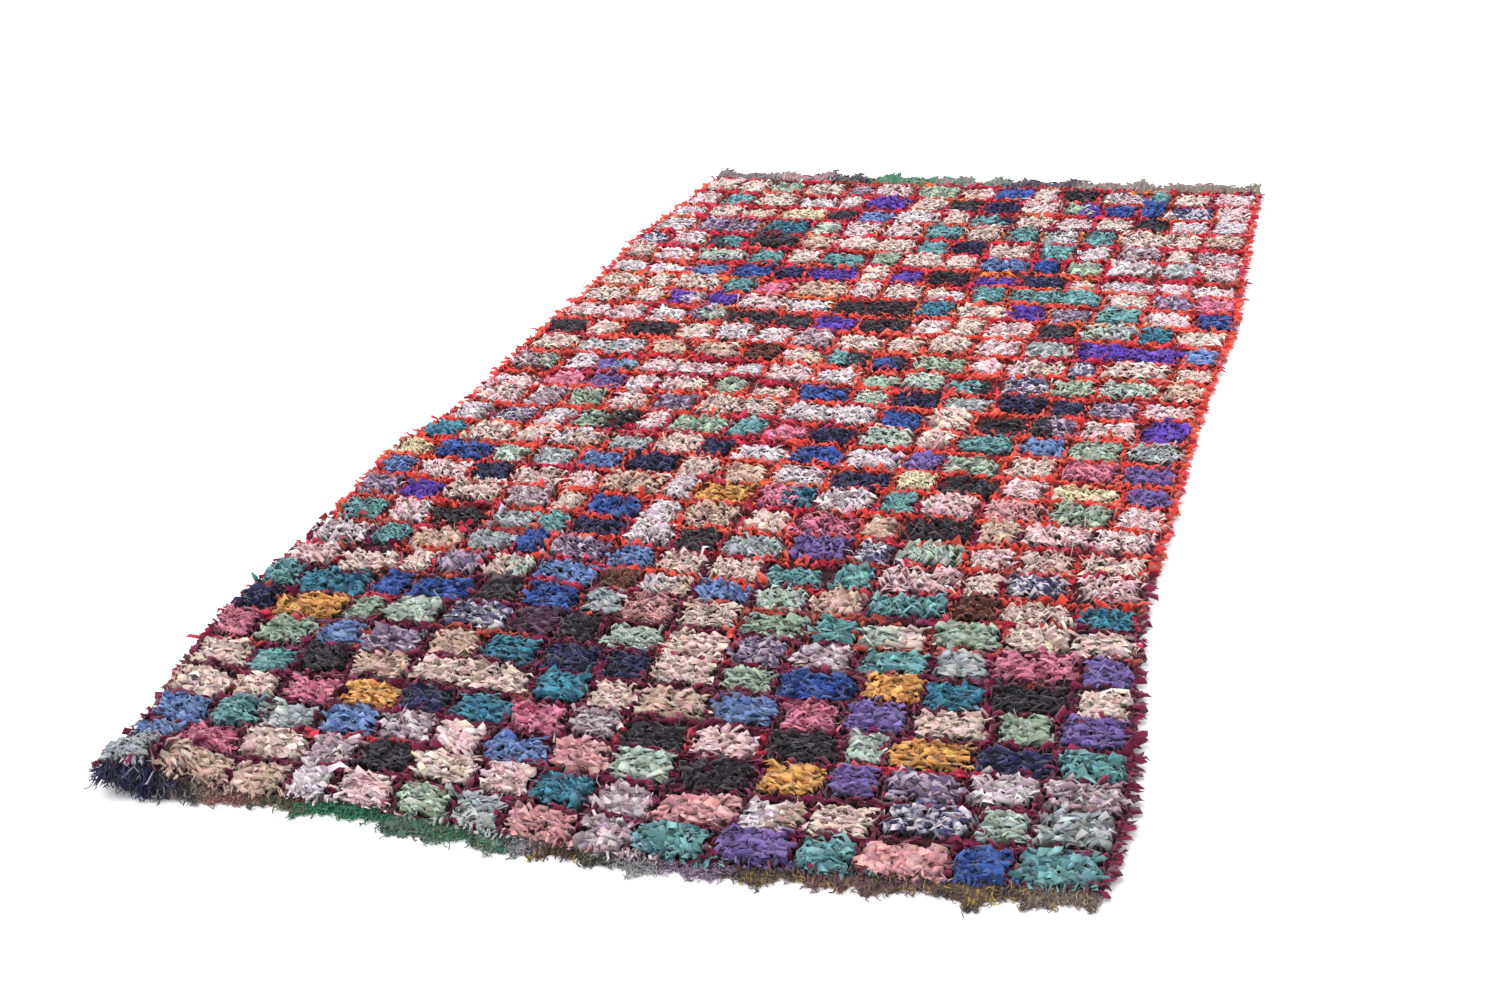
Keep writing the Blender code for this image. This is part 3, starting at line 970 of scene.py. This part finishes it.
def sheet_mesh(name, low, high):
    """A closed thin sheet between two grids of points; rows run across, low first."""
    rows, columns = low.shape[0] - 1, low.shape[1] - 1
    across = columns + 1
    layer = across * (rows + 1)
    row, column = np.meshgrid(np.arange(rows), np.arange(columns), indexing="ij")
    a = (row * across + column).reshape(-1)
    top = np.stack([a, a + 1, a + 1 + across, a + across], -1) + layer
    bottom = np.stack([a, a + across, a + 1 + across, a + 1], -1)
    rim_near = np.stack([np.arange(columns), np.arange(columns) + 1], -1)
    rim_far = rim_near[:, ::-1] + rows * across
    rim_left = np.stack([np.arange(1, rows + 1), np.arange(rows)], -1) * across
    rim_right = rim_left[:, ::-1] + columns
    rims = np.concatenate([rim_near, rim_far, rim_left, rim_right])
    walls = np.stack([rims[:, 0], rims[:, 1], rims[:, 1] + layer, rims[:, 0] + layer], -1)
    faces = np.concatenate([top, bottom, walls]).tolist()
    mesh = bpy.data.meshes.new(name)
    mesh.from_pydata(np.concatenate([low.reshape(-1, 3), high.reshape(-1, 3)]).tolist(), [], faces)
    mesh.shade_smooth()
    return mesh


def add_piece(name, mesh, material):
    piece = bpy.data.objects.new(name, mesh)
    bpy.context.scene.collection.objects.link(piece)
    mesh.materials.append(material)
    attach(piece, BODY)
    return piece


# Materials


def add_node(tree, kind, values):
    """A node with the values of its named sockets set."""
    node = tree.nodes.new(kind)
    adjust(node, values)
    return node


def adjust(node, values):
    for socket, value in values.items():
        node.inputs[socket].default_value = value


def cloth_material(name):
    """Cotton rag, web or weave: point colours with cloudy wear, a soft sheen and an uneven knit relief."""
    roughness, sheen, knit_scale, relief_strength = CLOTHS[name]
    material = bpy.data.materials.new(name)
    material.use_nodes = True
    tree = material.node_tree
    link = tree.links.new
    shader = tree.nodes["Principled BSDF"]
    adjust(shader, {"Roughness": roughness, "Specular IOR Level": CLOTH_SPECULAR})
    adjust(shader, {"Sheen Weight": sheen, "Sheen Roughness": SHEEN_ROUGHNESS})
    rag = tree.nodes.new("ShaderNodeAttribute")
    rag.attribute_name = "rag"
    spot = tree.nodes.new("ShaderNodeTexCoord").outputs["Object"]
    cloud = add_node(tree, "ShaderNodeTexNoise", WEAR)
    link(spot, cloud.inputs["Vector"])
    level = add_node(tree, "ShaderNodeMapRange", WEAR_TONES)
    link(cloud.outputs["Fac"], level.inputs["Value"])
    tone = tree.nodes.new("ShaderNodeVectorMath")
    tone.operation = "SCALE"
    link(rag.outputs["Color"], tone.inputs[0])
    link(level.outputs["Result"], tone.inputs["Scale"])
    link(tone.outputs["Vector"], shader.inputs["Base Color"])
    knit = add_node(tree, "ShaderNodeTexNoise", {"Scale": knit_scale, **RELIEF})
    link(spot, knit.inputs["Vector"])
    relief = add_node(tree, "ShaderNodeBump", {"Strength": relief_strength, "Distance": RELIEF_DEPTH})
    link(knit.outputs["Fac"], relief.inputs["Height"])
    link(relief.outputs["Normal"], shader.inputs["Normal"])
    return material


def floor_material():
    material = bpy.data.materials.new("floor")
    material.use_nodes = True
    adjust(material.node_tree.nodes["Principled BSDF"], {"Base Color": FLOOR_TONE, **FLOOR_FINISH})
    return material


# Pieces


def ground(material, chance):
    """The woven ground under the pile, a closed thin sheet that follows the ripple."""
    u, v = np.meshgrid(np.linspace(0, 1, GROUND_COLUMNS + 1), np.linspace(0, 1, GROUND_ROWS + 1))
    points, _, _, up = surface(u, v)
    low = points + np.array([0, 0, GROUND_FOOT])
    mesh = sheet_mesh("ground_weave", low, low + up * GROUND_THICKNESS)
    redness = smooth(*GROUND_TURNS_RED, v.reshape(-1, 1))
    tone = between(linear((GROUND_NEAR_TONE, GROUND_FAR_TONE)), redness)
    tone = tone * spread(GROUND_TONE_SPREAD, tone.shape, chance)
    # Underside darkened a little, top darkened much more: painted shade of the pile over the weave
    paint(mesh, np.concatenate([tone * GROUND_SHADE_BELOW, tone * GROUND_PAINTED_SHADE_ABOVE]))
    return add_piece("ground_weave", mesh, material)


def pile_shape(field, chance):
    """Heading, reach, height and width of every strip, by its kind, box and place along the rug."""
    u, v, kind = field["u"], field["v"], field["kind"]
    count = len(u)
    box = field["box"].astype(int)
    far = smooth(*FAR_REGION, v)
    boxes = BOX_ROWS * BOX_COLUMNS
    styles = np.random.default_rng(BOX_SEED)
    box_height = spread(BOX_HEIGHT_SPREAD, boxes, styles)[box]
    box_width = spread(BOX_WIDTH_SPREAD, boxes, styles)[box]
    box_stray = spread(BOX_STRAY_SPREAD, boxes, styles)[box]
    box_heading = styles.normal(0, BOX_HEADING_SPREAD, boxes)[box]
    framing = kind != BOX
    side = np.where(chance.random(count) < 0.5, 0.0, math.pi)
    stray = between(STRIP_STRAY, far) * np.where(framing, FRAME_STRAY, box_stray)
    heading = side + box_heading + chance.normal(0, 1, count) * stray
    upright = chance.random(count) < UPRIGHT_CHANCE_FAR * far
    upright |= (kind == STILE) & (chance.random(count) < UPRIGHT_CHANCE_STILE)
    heading = np.where(upright, heading + math.pi / 2, heading)
    reach = between(STRIP_REACH, far) * spread(STRIP_REACH_SPREAD, count, chance)
    reach = reach * np.where(kind == STILE, STILE_REACH, np.where(kind == RUNG, RUNG_REACH, 1))
    frame_height = np.where(kind == STILE, between(STILE_HEIGHT, far), between(RUNG_HEIGHT, far))
    height = between(STRIP_HEIGHT, far) * np.where(framing, frame_height, box_height)
    height = height * spread(STRIP_HEIGHT_SPREAD, count, chance)
    width = between(STRIP_WIDTH, far) * spread(STRIP_WIDTH_SPREAD, count, chance)
    width = width * np.where(framing, between(FRAME_WIDTH, far), box_width)
    rag_end = framing & (chance.random(count) < RAG_END_CHANCE * (1 - far))
    width = np.where(rag_end, width * RAG_END_WIDTH, width)
    height = np.where(rag_end, height * RAG_END_HEIGHT, height)
    heading = kept_inside(field, heading, reach, far, chance)
    x, _ = place(u, v)
    left, _ = place(field["u_low"], v)
    right, _ = place(field["u_high"], v)
    room = np.where(kind == BOX, np.abs((left + right) / 2 - x) + (right - left) / 2 + BOX_ROOM, 1)
    on_edge = np.where(chance.random(count) < 0.5, STRIP_ON_EDGE, -STRIP_ON_EDGE)
    return {
        "u": u, "v": v, "heading": heading, "reach": np.minimum(reach, room),
        "height": height, "sink": chance.uniform(*STRIP_SINK, count),
        "width": width, "crumple": between(STRIP_CRUMPLE, far),
        "roll": on_edge + chance.normal(0, STRIP_ROLL_SPREAD, count),
    }


def kept_inside(field, heading, reach, far, chance):
    """Headings turned about where a strip's tip would leave its box or frame by more than a little."""
    u, v, kind = field["u"], field["v"], field["kind"]
    x, y = place(u, v)
    left, _ = place(field["u_low"], v)
    right, _ = place(field["u_high"], v)
    _, near_edge = place(u, field["v_low"])
    _, far_edge = place(u, field["v_high"])
    longer = np.where(chance.random(len(u)) < LONG_SPILL_CHANCE, LONG_SPILL, 0)
    spill = np.where(kind == RUNG, SPILL_ACROSS_RUNG, between(SPILL_ACROSS, far)) + longer
    tip_x = x + reach * np.cos(heading)
    outside = (tip_x < left - spill) | (tip_x > right + spill)
    heading = np.where(outside, math.pi - heading, heading)
    spill = np.where(kind == STILE, SPILL_ALONG_STILE, between(SPILL_ALONG, far))
    spill = spill + longer * LONG_SPILL_ALONG
    tip_y = y + reach * np.sin(heading)
    outside = (tip_y < near_edge - spill) & (field["v_low"] > 0) | (tip_y > far_edge + spill)
    return np.where(outside, -heading, heading)


def strip_piece(name, shape, yarn, path, rings, material, chance):
    """A piece of many strips in their rags' colours."""
    corners, tips = strips(shape, path, rings, chance)
    tone_along = between((NEAR_TONE, FAR_TONE), smooth(*TONE_TURNS, shape["v"]))[:, None]
    main, second = (tone * tone_along for tone in yarn_tones(yarn, chance))
    printed = np.array([PRINTED.get(rag, BLOT_CHANCE_PLAIN) for rag in YARNS])[yarn.astype(int)]
    ring_colours, tip_colours = strip_colours(main, second, printed, rings, chance)
    crisp = chance.random(len(yarn)) < CRISP_SHARE
    mesh = strand_mesh(name, corners, tips, ring_colours, tip_colours, crisp)
    return add_piece(name, mesh, material)


def tuft_shape(style, u, v, heading, chance):
    """Tufts at given places and headings with the rest of their shape drawn from a style."""
    shape = {"u": u, "v": v, "heading": heading, "crumple": np.full(len(u), style["crumple"])}
    for name in ("reach", "height", "sink", "rest", "width"):
        if name in style:
            shape[name] = chance.uniform(*style[name], len(u))
    shape["roll"] = chance.normal(0, style["roll"], len(u))
    return shape


def side_locks(material, chance):
    """Pointed rag ends that stand out of both long sides."""
    count = LOCKS_PER_SIDE * 2
    right = np.arange(count) % 2 == 1
    v = (np.arange(count) // 2 + chance.random(count)) / LOCKS_PER_SIDE
    names = list(YARNS)
    red = frame_runs(count, LOCKS_RED_LIKE, chance)
    bright = frame_runs(count, LOCKS_BRIGHT_LIKE, chance)
    rags = [b if share > LOCKS_TURN_BRIGHT else r for r, b, share in zip(red, bright, v)]
    u = np.where(right, 1 - LOCK_INSET, LOCK_INSET)
    heading = np.where(right, 0.0, math.pi) + chance.normal(0, SIDE_LOCK["stray"], count)
    shape = tuft_shape(SIDE_LOCK, u, inside_field(v), heading, chance)
    longer = np.where(right & (v < NEAR_RIGHT_ENDS), LOCK_REACH_NEAR_RIGHT, LOCK_REACH_ELSEWHERE)
    shape["reach"] = longer * shape["reach"]
    yarn = np.array([names.index(rag) for rag in rags])
    return strip_piece("side_locks", shape, yarn, strip_path, TUFT_RINGS, material, chance)


def edge_tufts(front_rags, material, chance):
    """Tufts of the front row that lean over the near edge."""
    names = list(YARNS)
    u = inside_field(chance.random(EDGE_TUFTS))
    column = np.clip((u * BOX_COLUMNS).astype(int), 0, BOX_COLUMNS - 1)
    rag = np.array([names.index(front_rags[index][0]) for index in column])
    yarn = np.where(chance.random(EDGE_TUFTS) < EDGE_WINE_CHANCE, names.index("wine"), rag)
    v = np.full(EDGE_TUFTS, EDGE_LINE)
    heading = chance.normal(-math.pi / 2, EDGE_TUFT["stray"], EDGE_TUFTS)
    shape = tuft_shape(EDGE_TUFT, u, v, heading, chance)
    shape["rest"] = shape["rest"] + EDGE_HELD_UP * lift(*place(u, v))
    return strip_piece("edge_tufts", shape, yarn, hanging_path, TUFT_RINGS, material, chance)


def corner_tufts(material, chance):
    """Dark curly tufts under the ripple: most hang out in clumps, some fill the hollow behind as painted
    shade.
    """
    count = CORNER_TUFTS
    # Tufts drawn inside fill the hollow as painted shade; the rest hang out in clumps
    inside = chance.random(count) < HOLLOW_SHADE_TUFT_SHARE
    clump = chance.integers(0, len(CORNER_CLUMPS), count)
    middle, lean, drop = (np.array(column)[clump] for column in zip(*CORNER_CLUMPS))
    clumped = middle + chance.normal(0, CLUMP_SPREAD, count)
    u = np.clip(np.where(inside, chance.uniform(*HOLLOW_ACROSS, count), clumped), FIELD_RIM, CORNER_END)
    v = np.where(inside, chance.uniform(*HOLLOW_ALONG, count), EDGE_LINE)
    raised = lift(*place(u, v))
    fall = raised * np.where(inside, HOLLOW_DROP, drop * chance.uniform(*CLUMP_DROP, count))
    rags = [list(YARNS).index(name) for name in CORNER_RAGS]
    yarn = chance.choice(rags, count, p=CORNER_RAG_SHARES)
    heading = -math.pi / 2 - lean + chance.normal(0, CORNER_TUFT["stray"], count)
    shape = tuft_shape(CORNER_TUFT, u, v, heading, chance)
    shape["rest"] = np.maximum(LOWEST_REST, raised - fall)
    return strip_piece("corner_tufts", shape, yarn, hanging_path, TUFT_RINGS, material, chance)


def loose_threads(field, material, chance):
    """Thin curly threads that stand out of the boxes in their rags' colours."""
    pick = chance.choice(len(field["u"]), LOOSE_THREADS, replace=False)
    heading = chance.uniform(0, 2 * math.pi, LOOSE_THREADS)
    shape = tuft_shape(LOOSE_THREAD, field["u"][pick], field["v"][pick], heading, chance)
    yarn = field["yarn"][pick]
    return strip_piece("loose_threads", shape, yarn, strip_path, TUFT_RINGS, material, chance)


# Frayed webs at both ends


def thread_corners(line, radius, sides):
    """Rings round each thread's line, all but its last point, which is the tip."""
    tangent = unit(np.gradient(line, axis=1))[:, :-1]
    level = unit(np.cross(tangent, np.array([0.0, 0.0, 1.0])) + NUDGE)
    over = np.cross(tangent, level)
    turn = 2 * math.pi * np.arange(sides) / sides
    ring = level[:, :, None] * np.cos(turn)[:, None] + over[:, :, None] * np.sin(turn)[:, None]
    return line[:, :-1, None] + ring * radius[:, None, None, None]


def zone_tones(u, zones, chance):
    """Web colour at each share across, drawn from the two or three yarns of its zone."""
    borders = np.array([zone[0] for zone in zones])
    blurred = u + chance.normal(0, ZONE_BLUR, len(u))
    zone = np.clip(np.searchsorted(borders, blurred) - 1, 0, len(zones) - 1)
    tones = linear([row[1:] for row in zones])
    pick = chance.choice(len(ZONE_SHARES), len(u), p=ZONE_SHARES)
    return tones[zone, pick] * spread(ZONE_TONE_SPREAD, (len(u), 1), chance)


def web_reach(u, web):
    """How far a web reaches out at each share across: its table, scallops, and tabs where it is torn."""
    table = np.array(web["reach"])
    reach = np.interp(u, table[:, 0], table[:, 1])
    reach = reach * (1 + sum(share * np.sin(u * rate + phase) for share, rate, phase in SCALLOP_WAVES))
    turn = u * WEB_TABS + TAB_DRIFT * np.sin(u * TAB_DRIFT_RATE)
    tab = between((TAB_ROOT, TAB_TIP), np.abs(np.sin(math.pi * turn)) ** TAB_SQUARENESS)
    return reach * between((1, tab), web["torn"] * smooth(*TABS_BEGIN, u))


def held_up(u):
    """Share of the ripple's height that a web keeps at its tips: most at the corner, none past it."""
    return HELD_SHARE * np.clip(1 - u / HELD_WIDTH, 0, 1)


def curl(u, share, web):
    """How high a web curls up at each share across and each share of its reach."""
    ruffle = 1 - CURL_RUFFLE + CURL_RUFFLE * np.sin(u * CURL_RATE)
    return web["curl"] * ruffle * np.sin(CURL_TURN * math.pi * np.clip(share, 0, 1))


def web_fringe(web, material, chance):
    """Curly frayed threads along one end that lie over each other like moss."""
    count = web["threads"]
    one_each = (count, 1)
    u = np.clip((np.arange(count) + chance.random(count)) / count, WEB_RIM, 1 - WEB_RIM)
    foot, _, _, _ = surface(u, np.full(count, web["v"]))
    calm = np.minimum(1, THREAD_CALM_ENDS * np.minimum(u, 1 - u))
    heading = web["away"] * math.pi / 2 + chance.normal(0, THREAD_STRAY, count) * calm
    begin = chance.uniform(*THREAD_BEGIN, one_each)
    hook = chance.random(one_each) < HOOK_CHANCE
    length = chance.uniform(*THREAD_LENGTH, one_each) * np.where(hook, HOOK_LENGTH, 1.0) * web["longer"]
    t = np.linspace(0, 1, web["points"])[None, :]
    coil = chance.uniform(*THREAD_COIL, one_each)
    turns = chance.uniform(*THREAD_TURNS, one_each) * chance.choice((-1, 1), one_each)
    phase = chance.uniform(0, 2 * math.pi, one_each)
    angle = 2 * math.pi * turns * t + phase
    root_y = foot[:, None, 1] + web["away"] * begin * web_reach(u, web)[:, None]
    x = foot[:, None, 0] + length * t * np.cos(heading)[:, None] + coil * (np.cos(angle) - np.cos(phase))
    y = root_y + length * t * np.sin(heading)[:, None] + coil * (np.sin(angle) - np.sin(phase))
    ripple = foot[:, None, 2]
    kept = ripple * held_up(u)[:, None] + curl(u[:, None], begin, web)
    loose = ripple - kept + chance.uniform(*web["height"], one_each)
    start = loose * np.clip(1 - THREAD_SETTLES * begin, 0, 1)
    bounce = np.abs(np.sin(math.pi * turns * t * THREAD_HOP_TURNS + phase))
    hop = chance.uniform(0.0, THREAD_HOP, one_each) * bounce
    radius = chance.uniform(*THREAD_RADIUS, count) * web["thicker"]
    z = kept + np.maximum(start * (1 - web["fall"] * t) + hop, 0) + radius[:, None] + FLOOR_CLEARANCE
    line = np.stack([x, y, z], -1)
    corners = thread_corners(line, radius, SIDES)
    brightness = between(web["brightness"], smooth(*RIGHT_PART, u)[:, None])
    tone = zone_tones(u, web["zones"], chance) * brightness
    # Painted shade: each thread darker at its root than at its tip
    colour = tone[:, None] * np.linspace(*THREAD_PAINTED_SHADES, web["points"])[None, :, None]
    ring_colours = np.repeat(colour[:, :-1, None], SIDES, 2)
    name = web["name"] + "_fringe"
    mesh = strand_mesh(name, corners, line[:, -1], ring_colours, colour[:, -1])
    return add_piece(name, mesh, material)


def web_net(web, material, chance):
    """The knitted strip under the frayed threads: thin and lumpy, with a scalloped edge."""
    u = np.linspace(FIELD_RIM, 1 - FIELD_RIM, NET_COLUMNS + 1)
    foot, _, _, _ = surface(u, np.full_like(u, web["v"]))
    fingers = chance.uniform(*NET_FINGERS, NET_COLUMNS + 1)
    reach = NET_SHARE * web_reach(u, web) * fingers
    s = np.linspace(0, 1, NET_STEPS + 1)[:, None]
    grid = (NET_STEPS + 1, NET_COLUMNS + 1)
    x = foot[None, :, 0] + chance.normal(0, NET_ROUGHNESS, grid) * s
    y = foot[None, :, 1] + web["away"] * (reach[None, :] * s - NET_TUCK)
    waves = NET_LUMP * np.sin(u * NET_LUMP_RATE + NET_LUMP_SKEW * s) * np.sin(math.pi * s)
    lumps = waves + chance.normal(0, NET_ROUGHNESS, grid)
    slack = held_up(u) + NET_SLACK + NET_SLACK * np.sin(u * NET_SLACK_RATE)
    hanging = foot[None, :, 2] * slack * s
    dropping = (foot[None, :, 2] + NET_TUCK) * (1 - s) ** NET_DROP_POWER
    z = NET_FOOT + dropping + hanging + np.abs(lumps) + curl(u[None, :], s, web)
    low = np.stack([x, y, z], -1)
    # Zone tones darkened as painted shade under the threads
    tone = zone_tones(np.tile(u, NET_STEPS + 1), web["zones"], chance) * NET_PAINTED_SHADE
    name = web["name"] + "_net"
    mesh = sheet_mesh(name, low, low + np.array([0, 0, NET_THICKNESS]))
    if web["away"] > 0:
        mesh.flip_normals()
    paint(mesh, np.concatenate([tone, tone]))
    return add_piece(name, mesh, material)


# Stage


def camera():
    """The photograph's viewpoint."""
    heading = Vector((*CAMERA_HEADING, 0)).normalized()
    pitch = math.radians(CAMERA_PITCH_DEG)
    roll = math.radians(CAMERA_ROLL_DEG)
    forward = heading * math.cos(pitch) - Vector((0, 0, math.sin(pitch)))
    upright = heading * math.sin(pitch) + Vector((0, 0, math.cos(pitch)))
    level = Vector((heading.y, -heading.x, 0))
    right = level * math.cos(roll) + upright * math.sin(roll)
    up = -level * math.sin(roll) + upright * math.cos(roll)
    data = bpy.data.cameras.new("camera")
    data.sensor_width = SENSOR_WIDTH
    data.lens = SENSOR_WIDTH * FOCAL_PIXELS / PHOTO_WIDTH
    data.clip_start = SEEN_FROM
    data.clip_end = SEEN_TO
    eye = bpy.data.objects.new("camera", data)
    turn = Matrix((right, up, -forward)).transposed()
    eye.matrix_world = Matrix.Translation(CAMERA_PLACE) @ turn.to_4x4()
    bpy.context.scene.collection.objects.link(eye)
    bpy.context.scene.camera = eye


def studio():
    """A white floor in a bright even room with one broad soft light from above."""
    floor_mesh = bpy.data.meshes.new("floor")
    corners = [(x * FLOOR_HALF, y * FLOOR_HALF, 0) for x, y in ((-1, -1), (1, -1), (1, 1), (-1, 1))]
    floor_mesh.from_pydata(corners, [], [(0, 1, 2, 3)])
    floor_mesh.materials.append(floor_material())
    floor = bpy.data.objects.new("floor", floor_mesh)
    bpy.context.scene.collection.objects.link(floor)
    world = bpy.data.worlds.new("studio")
    world.use_nodes = True
    sky = world.node_tree.nodes["Background"]
    sky.inputs["Color"].default_value = (1.0, 1.0, 1.0, 1.0)
    sky.inputs["Strength"].default_value = ROOM_LIGHT
    bpy.context.scene.world = world
    data = bpy.data.lights.new("key", "SUN")
    data.energy = KEY_LIGHT
    data.angle = math.radians(KEY_SPREAD_DEG)
    key = bpy.data.objects.new("key", data)
    key.rotation_euler = Vector(KEY_FROM).to_track_quat("Z", "Y").to_euler()
    bpy.context.scene.collection.objects.link(key)
    bpy.context.scene.view_settings.view_transform = "Standard"


def pile_bands(field, material, chance):
    """The rag pile, a piece for each band of rows."""
    firsts = [band[0] for band in BANDS]
    band_index = np.searchsorted(firsts, field["box"] // BOX_COLUMNS, side="right") - 1
    pieces = []
    for index, band in enumerate(BANDS):
        part = chosen(field, band_index == index)
        shape = pile_shape(part, chance)
        name = f"rag_pile_{index + 1}"
        pieces.append(strip_piece(name, shape, part["yarn"], strip_path, band[1], material, chance))
    return pieces


def main():
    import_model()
    chance = np.random.default_rng(SEED)
    camera()
    studio()
    rags, merged = box_plan(chance)
    field = knots(rags, merged, chance)
    rag, frayed, weave = (cloth_material(name) for name in CLOTHS)
    base = ground(weave, chance)
    trim = pile_bands(field, rag, chance)
    trim.append(side_locks(rag, chance))
    trim.append(edge_tufts(rags[0], rag, chance))
    trim.append(corner_tufts(rag, chance))
    trim.append(loose_threads(field, rag, chance))
    near = [web_net(NEAR_WEB, frayed, chance), web_fringe(NEAR_WEB, frayed, chance)]
    far = [web_net(FAR_WEB, frayed, chance), web_fringe(FAR_WEB, frayed, chance)]
    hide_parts("pile")
    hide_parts("web_near")
    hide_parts("web_far")
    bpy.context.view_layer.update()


main()
